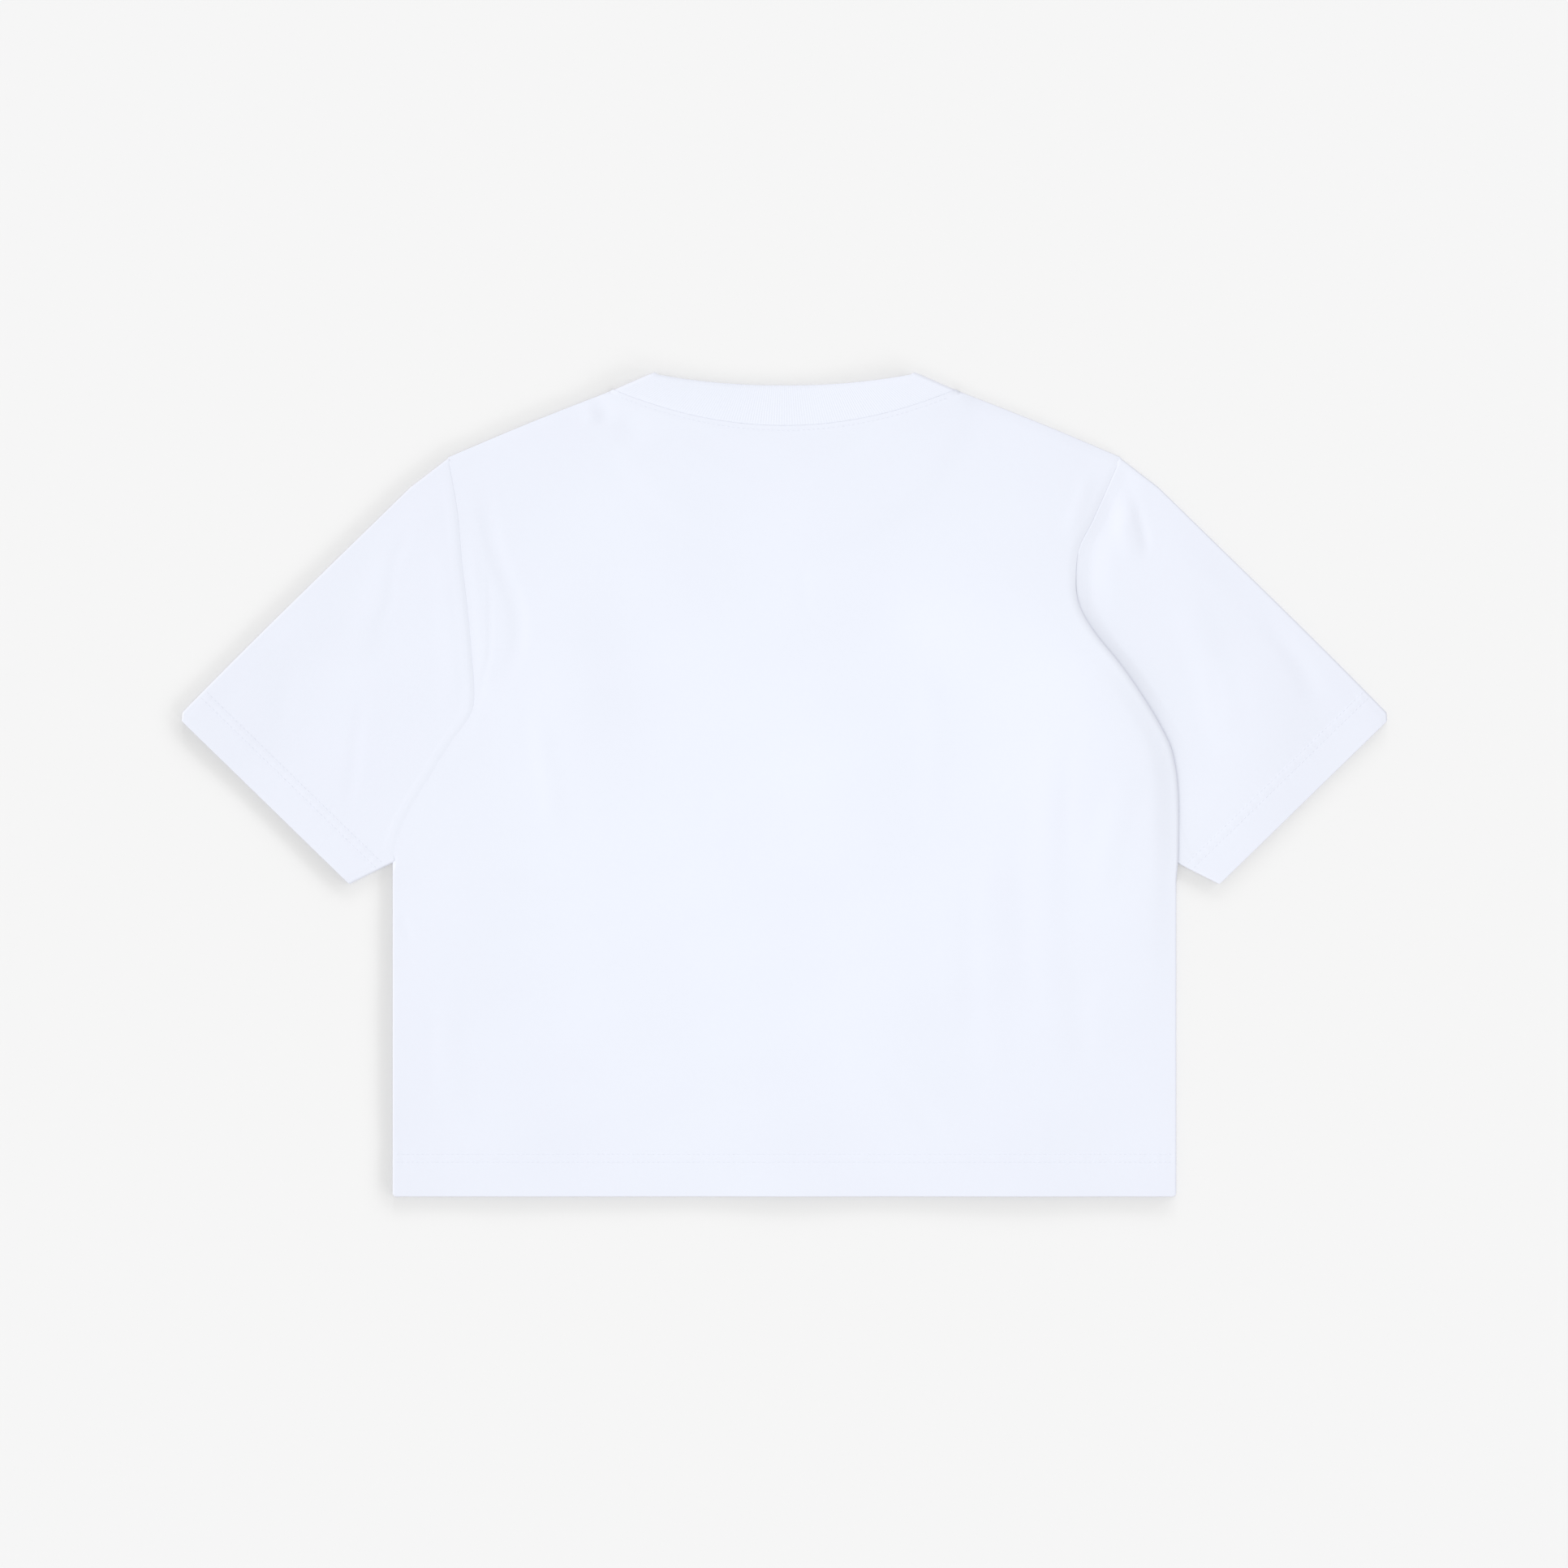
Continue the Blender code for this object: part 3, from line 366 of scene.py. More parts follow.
def fold_heights(folds, x, drop):
    """Height of soft creases above the flat cloth: round across their paths, and fading out at both ends."""
    total = np.zeros_like(x)
    for half_width, height, *path in folds:
        points = smooth_path(path)
        lengths = norm(np.diff(points, axis=0), axis=1)
        nearest, along, passed = np.full_like(x, np.inf), np.zeros_like(x), 0.0
        for (ax, ay), (bx, by), length in zip(points, points[1:], lengths):
            share = np.clip(((x - ax) * (bx - ax) + (drop - ay) * (by - ay)) / length**2, 0.0, 1.0)
            distance = np.hypot(x - lerp(ax, bx, share), drop - lerp(ay, by, share))
            closer = distance < nearest
            nearest = np.where(closer, distance, nearest)
            along = np.where(closer, passed + share * length, along)
            passed += length
        along /= passed
        ends = smoothstep(0.0, FOLD_TAPER, along) * smoothstep(0.0, FOLD_TAPER, 1 - along)
        across = np.minimum(nearest / half_width, 1.0)
        total += height * ends * np.cos(math.pi / 2 * across) ** 2
    return total


def undulation(x, y):
    """The low, wide unevenness of cloth that was laid out by hand."""
    draw = np.random.default_rng(UNDULATION_SEED)
    total = np.zeros_like(x)
    for _ in range(UNDULATIONS):
        turn, phase = draw.uniform(0, math.tau, 2)
        length = draw.uniform(*UNDULATION_LENGTHS)
        total += np.sin(math.tau * (x * math.cos(turn) + y * math.sin(turn)) / length + phase)
    return UNDULATION_HEIGHT * total


def way_along(points):
    """Distance along a polyline to each of its points."""
    return np.r_[0, np.cumsum(norm(np.diff(points, axis=0), axis=1))]


def interpolate(at, places, points):
    """The points of a polyline, or another value of its points, at other places along it."""
    return np.stack([np.interp(at, places, column) for column in points.T], -1)


def spaced(length, *zones):
    """Places from 0 to length, where the last zone ends. Each zone (end, step) has steps of its own."""
    places, here = [0.0], 0.0
    for end, step in zones:
        count = max(round((end - here) / step), 1)
        places += list(np.linspace(here, end, count + 1)[1:])
        here = end
    return np.array(places) * length / here


# ---- the surface of each piece ----


def shoulder_y(out):
    share = (out - NECK_SEAM_OUT) / (SHOULDER_OUT - NECK_SEAM_OUT)
    bow = SHOULDER_BOW * np.sin(math.pi * np.clip(share, 0.0, 1.0))
    return NECK_Y - lerp(NECK_SEAM_DROP, SHOULDER_DROP, share) + bow


SHOULDER_STRETCH = math.hypot(1.0, (SHOULDER_DROP - NECK_SEAM_DROP) / (SHOULDER_OUT - NECK_SEAM_OUT))


def back_seam_y(out):
    return NECK_Y - lerp(BACK_SEAM_DROP, NECK_SEAM_DROP, (out / NECK_SEAM_OUT) ** 2)


def back_top_y(x):
    return np.minimum(shoulder_y(np.abs(x)), back_seam_y(np.abs(x)) - SEAM_GAP)


def rib_top(out):
    """Height of the rib's back half along its seam."""
    return 2 * RIB_RADIUS - RIB_SAG * smoothstep(0.0, RIB_SAG_SHARE, 1 - out / RIB_END_SEAM[0])


def inside(u, share):
    """From 0 at both ends of an armhole to 1 within this share of it."""
    return smoothstep(0.0, share, u) * smoothstep(0.0, share, 1 - u)


def settled(u):
    """How freely the cloth creases at this share of an armhole."""
    return inside(u, SLEEVE_FADE)


def seam_valley(past, drop):
    """The valley along the upper half of the right armhole, this far past the seam toward the sleeve."""
    slope = smoothstep(*VALLEY_BODY, past) * (1 - smoothstep(*VALLEY_SLEEVE, past))
    return -curve_at(VALLEY, drop) * slope


def swell(past, drop):
    """The right sleeve's rise under the edge of the body that lies over it."""
    across = np.clip(past / SWELL_WIDTH, 0.0, 1.0)
    return curve_at(SWELL, drop) * (1 - across) ** SWELL_CURVE


def left_armhole(drop):
    return curve_at(BACK_LEFT, drop)


def right_armhole(drop):
    grown = smoothstep(TUCK_DROP, TUCK_DROP + TUCK_GROWS, drop)
    tuck = TUCK * grown * smoothstep(UNDERARM_DROP, UNDERARM_DROP - TUCK_SHRINKS, drop)
    return curve_at(BACK_RIGHT, drop) - tuck


def front_armhole(drop):
    return curve_at(FRONT_EDGE, drop)


def dip(distance, depth, width):
    """A groove beside a seam or under a row of stitches."""
    return -depth * np.exp(-((distance / width) ** 2))


def hem_relief(height, hem, x):
    """The outer face over a turned-up hem, this height above its edge: its step and two rows of stitches."""
    rise = HEM_STEP * (1 - smoothstep(hem - HEM_SLOPE, hem + HEM_SLOPE, height))
    rows = dip(height - hem, ROW_DIP, ROW_DIP_WIDTH) + dip(height - hem + NEEDLES, ROW_DIP, ROW_DIP_WIDTH)
    near = np.exp(-(((height - hem + NEEDLES / 2) / PUCKER_REACH) ** 2))
    ripples = sum(np.sin(math.tau * x / length + k) for k, length in enumerate(PUCKER_LENGTHS))
    return rise + rows + PUCKER * near * ripples


def over_front_rib(x, drop):
    middle_out, middle_drop = NECK_OUT + RIB_WIDTH / 2, FRONT_NECK_DROP + RIB_WIDTH / 2
    ring = np.hypot(x / middle_out, np.maximum(drop, 0.0) / middle_drop)
    away = np.abs(ring - 1.0) * (middle_out + middle_drop) / 2
    return RIB_SHOWS * (1 - smoothstep(*RIB_SHOWS_WITHIN, away))


def creases(x, drop):
    return fold_heights(TOP_FOLDS, x, drop) + undulation(x, drop)


def back_height(x, y):
    """The back panel's outer face."""
    drop = NECK_Y - y
    out = np.minimum(np.abs(x), RIB_END_SEAM[0])
    left, right = x + curve_at(BACK_LEFT, drop), curve_at(BACK_RIGHT, drop) - x
    below_rib = back_seam_y(out) - y

    near_seam = smoothstep(SETTLE, 0.0, np.minimum(left, right))
    near_seam *= smoothstep(UNDERARM_DROP + SETTLE, UNDERARM_DROP, drop)
    free = lerp(1.0, settled((drop - SHOULDER_DROP) / (UNDERARM_DROP - SHOULDER_DROP)), near_seam)
    base = LAYER_TOP + over_front_rib(x, drop)
    at_rib = smoothstep(NECK_LIFT, 0.0, below_rib) * smoothstep(NECK_LIFT, 0.0, np.abs(x) - out)
    height = lerp(base + free * creases(x, drop), rib_top(out), at_rib)
    to_crest = lerp(curve_at(TUCK_EDGE, drop), 1.0, smoothstep(0.0, TUCK_CREST, right))
    lift = curve_at(TUCK_LIFT, drop) * to_crest
    height += lift * (1 - smoothstep(TUCK_CREST, TUCK_FADE, right)) + seam_valley(-right, drop)
    height += hem_relief(BODY_LENGTH - drop, BODY_HEM, x)

    above_underarm = smoothstep(UNDERARM_DROP + SEAM_ENDS, UNDERARM_DROP - SEAM_ENDS, drop)
    height += above_underarm * dip(left, curve_at(LEFT_SEAM_DIP, drop), BENT_DIP_WIDTH)
    above_tuck = smoothstep(RIGHT_ROLL[1], RIGHT_ROLL[0], drop)
    height += above_tuck * dip(right, curve_at(RIGHT_SEAM_DIP, drop), SEAM_DIP_WIDTH)
    at_seam = dip(below_rib, NECK_SEAM_DIP, SEAM_DIP_WIDTH)
    height += at_seam + dip(below_rib - NECK_ROW, ROW_DIP, ROW_DIP_WIDTH)
    return height


def rolled_lines(height, share, width):
    """(inset, fall) of an edge's lines, in columns: share 1 rolls it down by height, 0 leaves it flat."""
    height, share = (np.asarray(a, float)[..., None] for a in (height, share))
    radius = ROLL_SHARE * height
    width = np.asarray(width)[..., None]
    turns = np.radians([turn or 0.0 for turn in ROLL_TURNS])
    falls = radius * (1 - np.sin(turns))
    falls[..., :1] = height
    return lerp(FLAT_LINES, width * (1 - np.cos(turns)), share), share * falls


def slope_stretch(rows, at):
    """How much longer a way across is than one at right angles to this edge."""
    change = curve_at(rows, at + SLOPE_STEP) - curve_at(rows, at - SLOPE_STEP)
    return np.hypot(1.0, change / (2 * SLOPE_STEP))


def back_face():
    """The back panel's outer face: rows of points from the hem to the neck, each from left to right."""
    rise = spaced(1.0, *BACK_ROWS)[:-ROWS_IN_ROLL]
    rows = BODY_LENGTH - rise * (BODY_LENGTH - SHOULDER_DROP)
    left, right = -curve_at(BACK_LEFT, rows), curve_at(BACK_RIGHT, rows)
    y = NECK_Y - rows
    left_in, left_fall = rolled_lines(back_height(left, y) - LIP, smoothstep(*LEFT_ROLL, rows), SIDE_ROLL)
    down = (rows - SHOULDER_DROP) / (UNDERARM_DROP - SHOULDER_DROP)
    on_sleeve = LAYER_TOP + settled(down) * creases(right, rows) + swell(0.0, rows) + seam_valley(0.0, rows)
    rim = lerp(on_sleeve, LIP, smoothstep(*RIM_FALL, rows))
    roll = smoothstep(*RIGHT_ROLL, rows)
    right_in, right_fall = rolled_lines(back_height(right, y) - rim, roll, curve_at(TUCK_ROLL, rows))
    left_x = left[:, None] + left_in * slope_stretch(BACK_LEFT, rows)[:, None]
    right_x = (right[:, None] - right_in * slope_stretch(BACK_RIGHT, rows)[:, None])[:, ::-1]

    start, end = -SHOULDER_OUT + FLAT_LINES[-1], SHOULDER_OUT - FLAT_LINES[-1]
    corner = -(NECK_CORNER_OUT + start) / (end - start)
    outer = spaced(corner, *BACK_OUTER_COLUMNS)
    inner = spaced(0.5 - corner, *BACK_INNER_COLUMNS)
    shares = np.r_[outer, corner + inner[1:]]
    shares = np.r_[shares, 1 - shares[-2::-1]]
    between = lerp(left_x[:, -1:], right_x[:, :1], shares[None, 1:-1])
    x = np.hstack([left_x, between, right_x])
    fall = np.hstack([left_fall, np.zeros_like(between), right_fall[:, ::-1]])
    edge = np.r_[-SHOULDER_OUT + FLAT_LINES, lerp(start, end, shares[1:-1])]
    edge = np.r_[edge, -edge[len(ROLL_TURNS) - 1 :: -1]]
    top = back_top_y(edge) + NECK_REACH * (1 - smoothstep(*SHOULDER_ROLL, np.abs(edge)))
    past = np.maximum(np.abs(x[0]) - (SIDE_X - HEM_CORNER_RADIUS), 0.0)
    low = HEM_CORNER_RADIUS - np.sqrt(np.maximum(HEM_CORNER_RADIUS**2 - past**2, 0.0))
    hem_y = HEM_Y + RIM * HEM_WALL
    y = lerp(hem_y + low * (1 - rise[:, None]) ** HEM_CORNER_FADE, top[None, :], rise[:, None])
    z = back_height(x, y) - fall

    roll = smoothstep(*SHOULDER_ROLL, np.abs(edge))
    inset, fall = rolled_lines(back_height(edge, top) - LIP, roll, SIDE_ROLL)
    top_y = (top[:, None] - inset * SHOULDER_STRETCH).T[::-1]
    top_x = np.broadcast_to(edge, top_y.shape)
    top_z = back_height(top_x, top_y) - fall.T[::-1]
    return np.dstack([np.vstack([x, top_x]), np.vstack([y, top_y]), np.vstack([z, top_z])])


def front_rib_line(width, turns):
    """The rib's front half at this distance from its free edge; turns run from -90 to 90 degrees."""
    end = lerp(RIB_END_FREE, RIB_END_SEAM, width / RIB_WIDTH)
    depth = end[1] - (NECK_Y - FRONT_NECK_DROP - width)
    return np.stack([end[0] * np.sin(turns), end[1] - depth * np.cos(turns)], 1)


def front_face():
    """The front panel's outer face, which lies on the surface: rows from the hem up, from right to left."""
    rise = spaced(1.0, *FRONT_ROWS)
    rows = BODY_LENGTH - rise * (BODY_LENGTH - SHOULDER_DROP)
    side = front_armhole(rows)
    neck = front_rib_line(RIB_WIDTH + SEAM_GAP, np.radians(FRONT_NECK_TURNS))
    outs = side[-1] - spaced(side[-1] - NECK_CORNER_OUT, *FRONT_COLUMNS)
    tops = shoulder_y(outs) - FRONT_INSIDE * SHOULDER_STRETCH
    edge = np.vstack([np.c_[outs, tops], neck])
    edge = np.vstack([edge, edge[-2::-1] * (-1, 1)])
    shares = (edge[:, 0] / side[-1] + 1) / 2
    x = lerp(-side[:, None], side[:, None], shares[None, :])
    y = lerp(HEM_Y + RIM * HEM_WALL, edge[None, :, 1], rise[:, None])
    drop = NECK_Y - y
    height = fold_heights(FRONT_CREASES, x, drop)
    height -= dip(edge[None, :, 1] - y, NECK_SEAM_DIP, SEAM_DIP_WIDTH)
    height -= hem_relief(BODY_LENGTH - drop, BODY_HEM, x) - HEM_STEP
    return np.dstack([x, y, np.maximum(height, 0.0)])


def on_plan(side, out, drop):
    return np.stack([side * np.asarray(out, float), NECK_Y - np.asarray(drop, float)], -1)


def polyline_at(points, share):
    places = way_along(points)
    return interpolate(share * places[-1], places, points)


def sleeve_face(side, back_armhole, seam_dip):
    """A sleeve's outer face in rings of points from armhole to cuff, and their distances to the cuff."""
    radius = SLEEVE_FOLD_RADIUS
    upper_fold = on_plan(side, *np.array([(SHOULDER_OUT - CAP_REACH, SHOULDER_DROP), *BEVEL, *CUFF_TIP]).T)
    corner, inner_tip = np.array((SIDE_X, UNDERARM_DROP)), np.array(CUFF_INNER)
    corner = corner - (inner_tip - corner) * SLEEVE_REACH[side] / (inner_tip - corner)[0]
    underarm = on_plan(side, *np.array([corner, inner_tip]).T)
    along = spaced(1.0, *SLEEVE_RINGS)
    top, low = polyline_at(upper_fold, along), polyline_at(underarm, along)
    way = (low - top) / norm(low - top, axis=1)[:, None]
    top -= way * SHOULDER_BOW * np.sin(math.pi * along**SLEEVE_BOW_CURVE)[:, None]
    first, last = top + way * radius, low - way * radius
    drops = lerp(SHOULDER_DROP, corner[1], spaced(1.0, *SLEEVE_LINES))[2:-2]

    def layer(armhole):
        """(plan places, shares across) of one layer: between its armhole, its two folds and the cuff."""
        to_corner = smoothstep(corner[1] - CORNER_CLOSES, corner[1], drops)
        seam = on_plan(side, lerp(armhole(drops) - TUCKED_IN, corner[0], to_corner), drops)
        starts = np.vstack([first[0], seam, last[0]])
        u = (starts[:, 1] - first[0, 1]) / (last[0, 1] - first[0, 1])
        bulge = starts - lerp(first[0], last[0], u[:, None])
        ruled = lerp(first[:, None], last[:, None], u[None, :, None])
        return ruled + bulge[None] * (1 - along)[:, None, None], u

    def to_cuff(plan):
        """Distance from the cuff, and the place along it."""
        way_across = (low[-1] - top[-1]) / norm(low[-1] - top[-1])
        away = plan - top[-1]
        return np.abs(away @ np.array([-way_across[1], way_across[0]])), away @ way_across

    upper, u = layer(back_armhole)
    x, drop = upper[..., 0], NECK_Y - upper[..., 1]
    distance, place = to_cuff(upper)
    from_seam = side * x - back_armhole(drop)
    upper_z = LAYER_TOP + settled(u) * creases(x, drop)
    upper_z += inside(u, HEM_FADE) * hem_relief(distance, CUFF_HEM, place)
    upper_z += inside(u, SEAM_FADE) * dip(from_seam, curve_at(seam_dip, drop), SEAM_DIP_WIDTH)
    if side > 0:
        past = x - curve_at(BACK_RIGHT, drop)
        upper_z += inside(u, SEAM_FADE) * (swell(past, drop) + seam_valley(past, drop))
    rises, falls = ALLOWANCE_SLOPES
    allowance = smoothstep(0.0, rises, from_seam) * smoothstep(ALLOWANCE, ALLOWANCE - falls, from_seam)
    upper_z += settled(u) * ALLOWANCE_RISE * allowance
    upper_z -= inside(u, SEAM_FADE) * TUCKED_IN * smoothstep(*TUCKED_BETWEEN, from_seam)

    lower, u = layer(front_armhole)
    x, drop = lower[..., 0], NECK_Y - lower[..., 1]
    distance, place = to_cuff(lower)
    lower_z = settled(u) * fold_heights(LOWER_SLEEVE_CREASES, side * x, drop)
    lower_z += inside(u, HEM_FADE) * (HEM_STEP - hem_relief(distance, CUFF_HEM, place))
    from_seam = side * x - front_armhole(drop)
    lower_z += inside(u, SEAM_FADE) * TUCKED_IN * smoothstep(*TUCKED_BETWEEN, from_seam)
    lower_z = np.maximum(lower_z, 0.0)

    def fold_round(corner, inward, turns):
        turns = np.radians(turns)[None, :]
        plan = corner[:, None] + inward[:, None] * (radius * (1 - np.cos(turns)))[..., None]
        return plan, np.broadcast_to(radius * (1 + np.sin(turns)), plan.shape[:2])

    low_fold, low_z = fold_round(low, -way, FOLD_TURNS)
    top_fold, top_z = fold_round(top, way, FOLD_TURNS[::-1])
    plan = np.hstack([upper, low_fold, lower[:, ::-1], top_fold])
    z = np.hstack([upper_z, low_z, lower_z[:, ::-1], top_z])
    points = np.dstack([plan, z])
    distance = to_cuff(plan)[0]
    return (points[::-1], distance[::-1]) if side < 0 else (points, distance)


def rib_face():
    """The neck rib: sections round its wall, along its back half, right fold, front half and left fold."""
    half_wall = RIB_WALL / 2
    shares = np.linspace(-1, 1, RIB_BACK_SECTIONS)
    free_y = lerp(NECK_Y - BACK_NECK_DROP, RIB_END_FREE[1], np.abs(shares) ** BACK_EDGE_CURVE)
    free = np.stack([RIB_END_FREE[0] * shares, free_y], 1)
    seam_x = RIB_END_SEAM[0] * shares
    seam = np.stack([seam_x, back_seam_y(np.abs(seam_x))], 1)
    top = rib_top(np.abs(seam_x))
    back = [np.c_[p, z] for z in (top, top - RIB_WALL) for p in (free, seam)]

    turns = np.radians(np.linspace(90, -90, RIB_FRONT_SECTIONS))
    front_free, front_seam = front_rib_line(0.0, turns), front_rib_line(RIB_WIDTH, turns)
    flat = np.zeros(len(turns))
    front = [np.c_[p, flat + z] for z in (0.0, RIB_WALL) for p in (front_free, front_seam)]

    def fold_over(side, angles):
        out, rise = np.cos(angles)[:, None], np.sin(angles)
        ends = (RIB_END_FREE * (side, 1), RIB_END_SEAM * (side, 1))
        tips = (on_plan(side, NECK_OUT, 0.0), on_plan(side, NECK_SEAM_OUT, NECK_SEAM_DROP))
        tight = (RIB_RADIUS - RIB_WALL) / RIB_RADIUS
        return [
            np.c_[end + (tip - end) * out * s, RIB_RADIUS * (1 + rise * s)]
            for s in (1.0, tight)
            for end, tip in zip(ends, tips)
        ]

    angles = np.radians(RIB_FOLD_TURNS)
    parts = [back, fold_over(1, angles), front, fold_over(-1, angles[::-1])]
    outer_free, outer_seam, inner_free, inner_seam = (np.vstack(p) for p in zip(*parts))

    ribs = np.cos(math.pi * way_along((outer_free + outer_seam) / 2) / RIB_PITCH) ** 2
    way = outer_seam - outer_free
    width = norm(way, axis=1)[:, None]
    way /= width
    up = (outer_free - inner_free) / RIB_WALL

    relief = RIB_RELIEF * (ribs[:, None] - 1)
    crown = RIB_CROWN * np.maximum(up[:, 2:], 0.0)

    section = []
    for turn in np.radians(RIB_EDGE_TURNS):
        centre = (outer_free + inner_free) / 2 + way * half_wall
        normal = up * math.sin(turn) - way * math.cos(turn)
        section.append(centre + normal * (half_wall + relief))
    for place in RIB_ACROSS:
        here = place * width / RIB_WIDTH
        rise = crown * math.sin(math.pi * place / RIB_WIDTH) + relief
        section.append(outer_free + way * here + up * rise)
    section.append(outer_free + way * (width - RIB_EDGE_DIP) - up * RIB_EDGE_DIP)
    section.append((outer_seam + inner_seam) / 2 + way * SEAM_GAP / 2)
    for place in RIB_BACK_ACROSS:
        section.append(inner_free + way * place * width / RIB_WIDTH)
    return np.stack(section, 1)


# ---- meshes ----


def unit(vectors):
    """These vectors' directions."""
    return vectors / np.maximum(norm(vectors, axis=-1, keepdims=True), 1e-12)


def grid_normals(points, around=False):
    """Unit normals of a grid of points, outward for rows that run up and columns that run right."""
    if around:
        across = np.roll(points, -1, 1) - np.roll(points, 1, 1)
    else:
        across = np.gradient(points, axis=1)
    return unit(np.cross(across, np.gradient(points, axis=0)))


def grid_quads(ids):
    corners = ids[:-1, :-1], ids[:-1, 1:], ids[1:, 1:], ids[1:, :-1]
    return np.stack(corners, -1).reshape(-1, 4)


def add_mesh(name, vertices, faces, material):
    mesh = bpy.data.meshes.new(name)
    mesh.from_pydata(np.asarray(vertices).tolist(), [], np.asarray(faces).tolist())
    mesh.materials.append(material)
    mesh.shade_smooth()
    obj = bpy.data.objects.new(name, mesh)
    bpy.context.scene.collection.objects.link(obj)
    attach(obj, "root")
    return obj


def add_shell(name, outer, wall, material, around=False, rim=RIM):
    """A closed thin shell with a rounded rim. outer holds its outer face by row and column, and around joins
    the last column to the first."""
    inner = outer - grid_normals(outer, around) * np.broadcast_to(wall, outer.shape[:2])[..., None]
    rows, columns = outer.shape[:2]
    ids = np.arange(rows * columns).reshape(rows, columns)
    if around:
        ids = np.hstack([ids, ids[:, :1]])
        borders = [(ids[0], ids[1]), (ids[-1, ::-1], ids[-2, ::-1])]
    else:
        border = np.r_[ids[0, :-1], ids[:-1, -1], ids[-1, :0:-1], ids[:0:-1, 0], ids[0, 0]]
        nearby = np.pad(ids[1:-1, 1:-1], 1, mode="edge")
        behind = np.r_[nearby[0, :-1], nearby[:-1, -1], nearby[-1, :0:-1], nearby[:0:-1, 0], nearby[0, 0]]
        borders = [(border, behind)]
    count = rows * columns
    vertices = [outer.reshape(-1, 3), inner.reshape(-1, 3)]
    quads = grid_quads(ids)
    faces = [quads, quads[:, ::-1] + count]
    flat_outer, flat_inner = vertices
    start = 2 * count
    for border, behind in borders:
        border, behind = border[:-1], behind[:-1]
        outward = unit(flat_outer[border] - flat_outer[behind])
        thick = norm(flat_outer[border] - flat_inner[border], axis=1, keepdims=True)
        out_by = np.broadcast_to(rim, outer.shape[:2]).reshape(-1, 1)[border]
        vertices.append((flat_outer[border] + flat_inner[border]) / 2 + outward * thick * out_by)
        middle = start + np.arange(len(border))
        start += len(border)
        after, middle_after = np.roll(border, -1), np.roll(middle, -1)
        faces.append(np.stack([after, border, middle, middle_after], 1))
        faces.append(np.stack([middle_after, middle, border + count, after + count], 1))
    return add_mesh(name, np.vstack(vertices), np.vstack(faces), material)


def contour(points, normals, field, level):
    """(places, normals) where a field that changes steadily from row to row crosses level in each column."""
    found = []
    for column in range(points.shape[1]):
        values = field[:, column]
        order = 1 if values[-1] > values[0] else -1
        row = np.interp(level, values[::order], np.arange(len(values))[::order])
        low = min(int(row), len(values) - 2)
        share = row - low
        place = lerp(points[low, column], points[low + 1, column], share)
        normal = lerp(normals[low, column], normals[low + 1, column], share)
        found.append((place, normal / norm(normal)))
    return tuple(np.array(side) for side in zip(*found))


def stitch_row(path, normals, seed):
    """(vertices, faces) of a row of stitches that lie along a path on the cloth."""
    draw = np.random.default_rng(seed)
    places = way_along(path)
    pitch = STITCH_LENGTH + STITCH_SPACE
    count = int(places[-1] / pitch)
    middles = (np.arange(count) + 0.5) * pitch + draw.normal(0, STITCH_UNEVENNESS, count)
    ways = interpolate(middles + pitch / 2, places, path) - interpolate(middles - pitch / 2, places, path)
    lengths = norm(ways, axis=1, keepdims=True)
    straight = lengths[:, 0] > STRAIGHT_SHARE * pitch
    middles, ways = middles[straight], (ways / lengths)[straight]
    centres, ups = interpolate(middles, places, path), interpolate(middles, places, normals)
    sides = np.cross(ways, ups)
    angles = math.tau * np.arange(STITCH_SIDES) / STITCH_SIDES
    vertices = []
    for along, size, lift in STITCH_RINGS:
        for angle in angles:
            side = STITCH_RADIUS * size * math.cos(angle)
            up = STITCH_RADIUS * (size * math.sin(angle) + lift)
            vertices.append(centres + ways * along * STITCH_LENGTH + sides * side + ups * up)
    vertices = np.stack(vertices, 1)
    vertices[..., 2] = np.maximum(vertices[..., 2], 0.0)
    ids = np.arange(len(STITCH_RINGS) * STITCH_SIDES).reshape(len(STITCH_RINGS), STITCH_SIDES)
    quads = grid_quads(np.hstack([ids, ids[:, :1]]))
    quads = quads[None] + (np.arange(len(middles)) * vertices.shape[1])[:, None, None]
    return vertices.reshape(-1, 3), quads.reshape(-1, 4)


def add_stitches(name, rows, material, seed):
    vertices, faces, count = [], [], 0
    for k, (path, normals) in enumerate(rows):
        made, quads = stitch_row(path, normals, seed + k)
        vertices.append(made)
        faces.append(quads + count)
        count += len(made)
    return add_mesh(name, np.vstack(vertices), np.vstack(faces), material)


# ---- materials ----


def new_material(name, roughness, specular):
    """(material, its node tree, its shader)"""
    material = bpy.data.materials.new(name)
    material.use_nodes = True
    shader = material.node_tree.nodes["Principled BSDF"]
    shader.inputs["Roughness"].default_value = roughness
    shader.inputs["Specular IOR Level"].default_value = specular
    return material, material.node_tree, shader


def add_node(tree, kind, **constants):
    node = tree.nodes.new("ShaderNode" + kind)
    for socket, value in constants.items():
        node.inputs[socket].default_value = value
    return node


def math_node(tree, operation, *inputs):
    node = add_node(tree, "Math")
    node.operation = operation
    for socket, value in zip(node.inputs, inputs):
        if isinstance(value, (int, float)):
            socket.default_value = value
        else:
            tree.links.new(value, socket)
    return node.outputs[0]


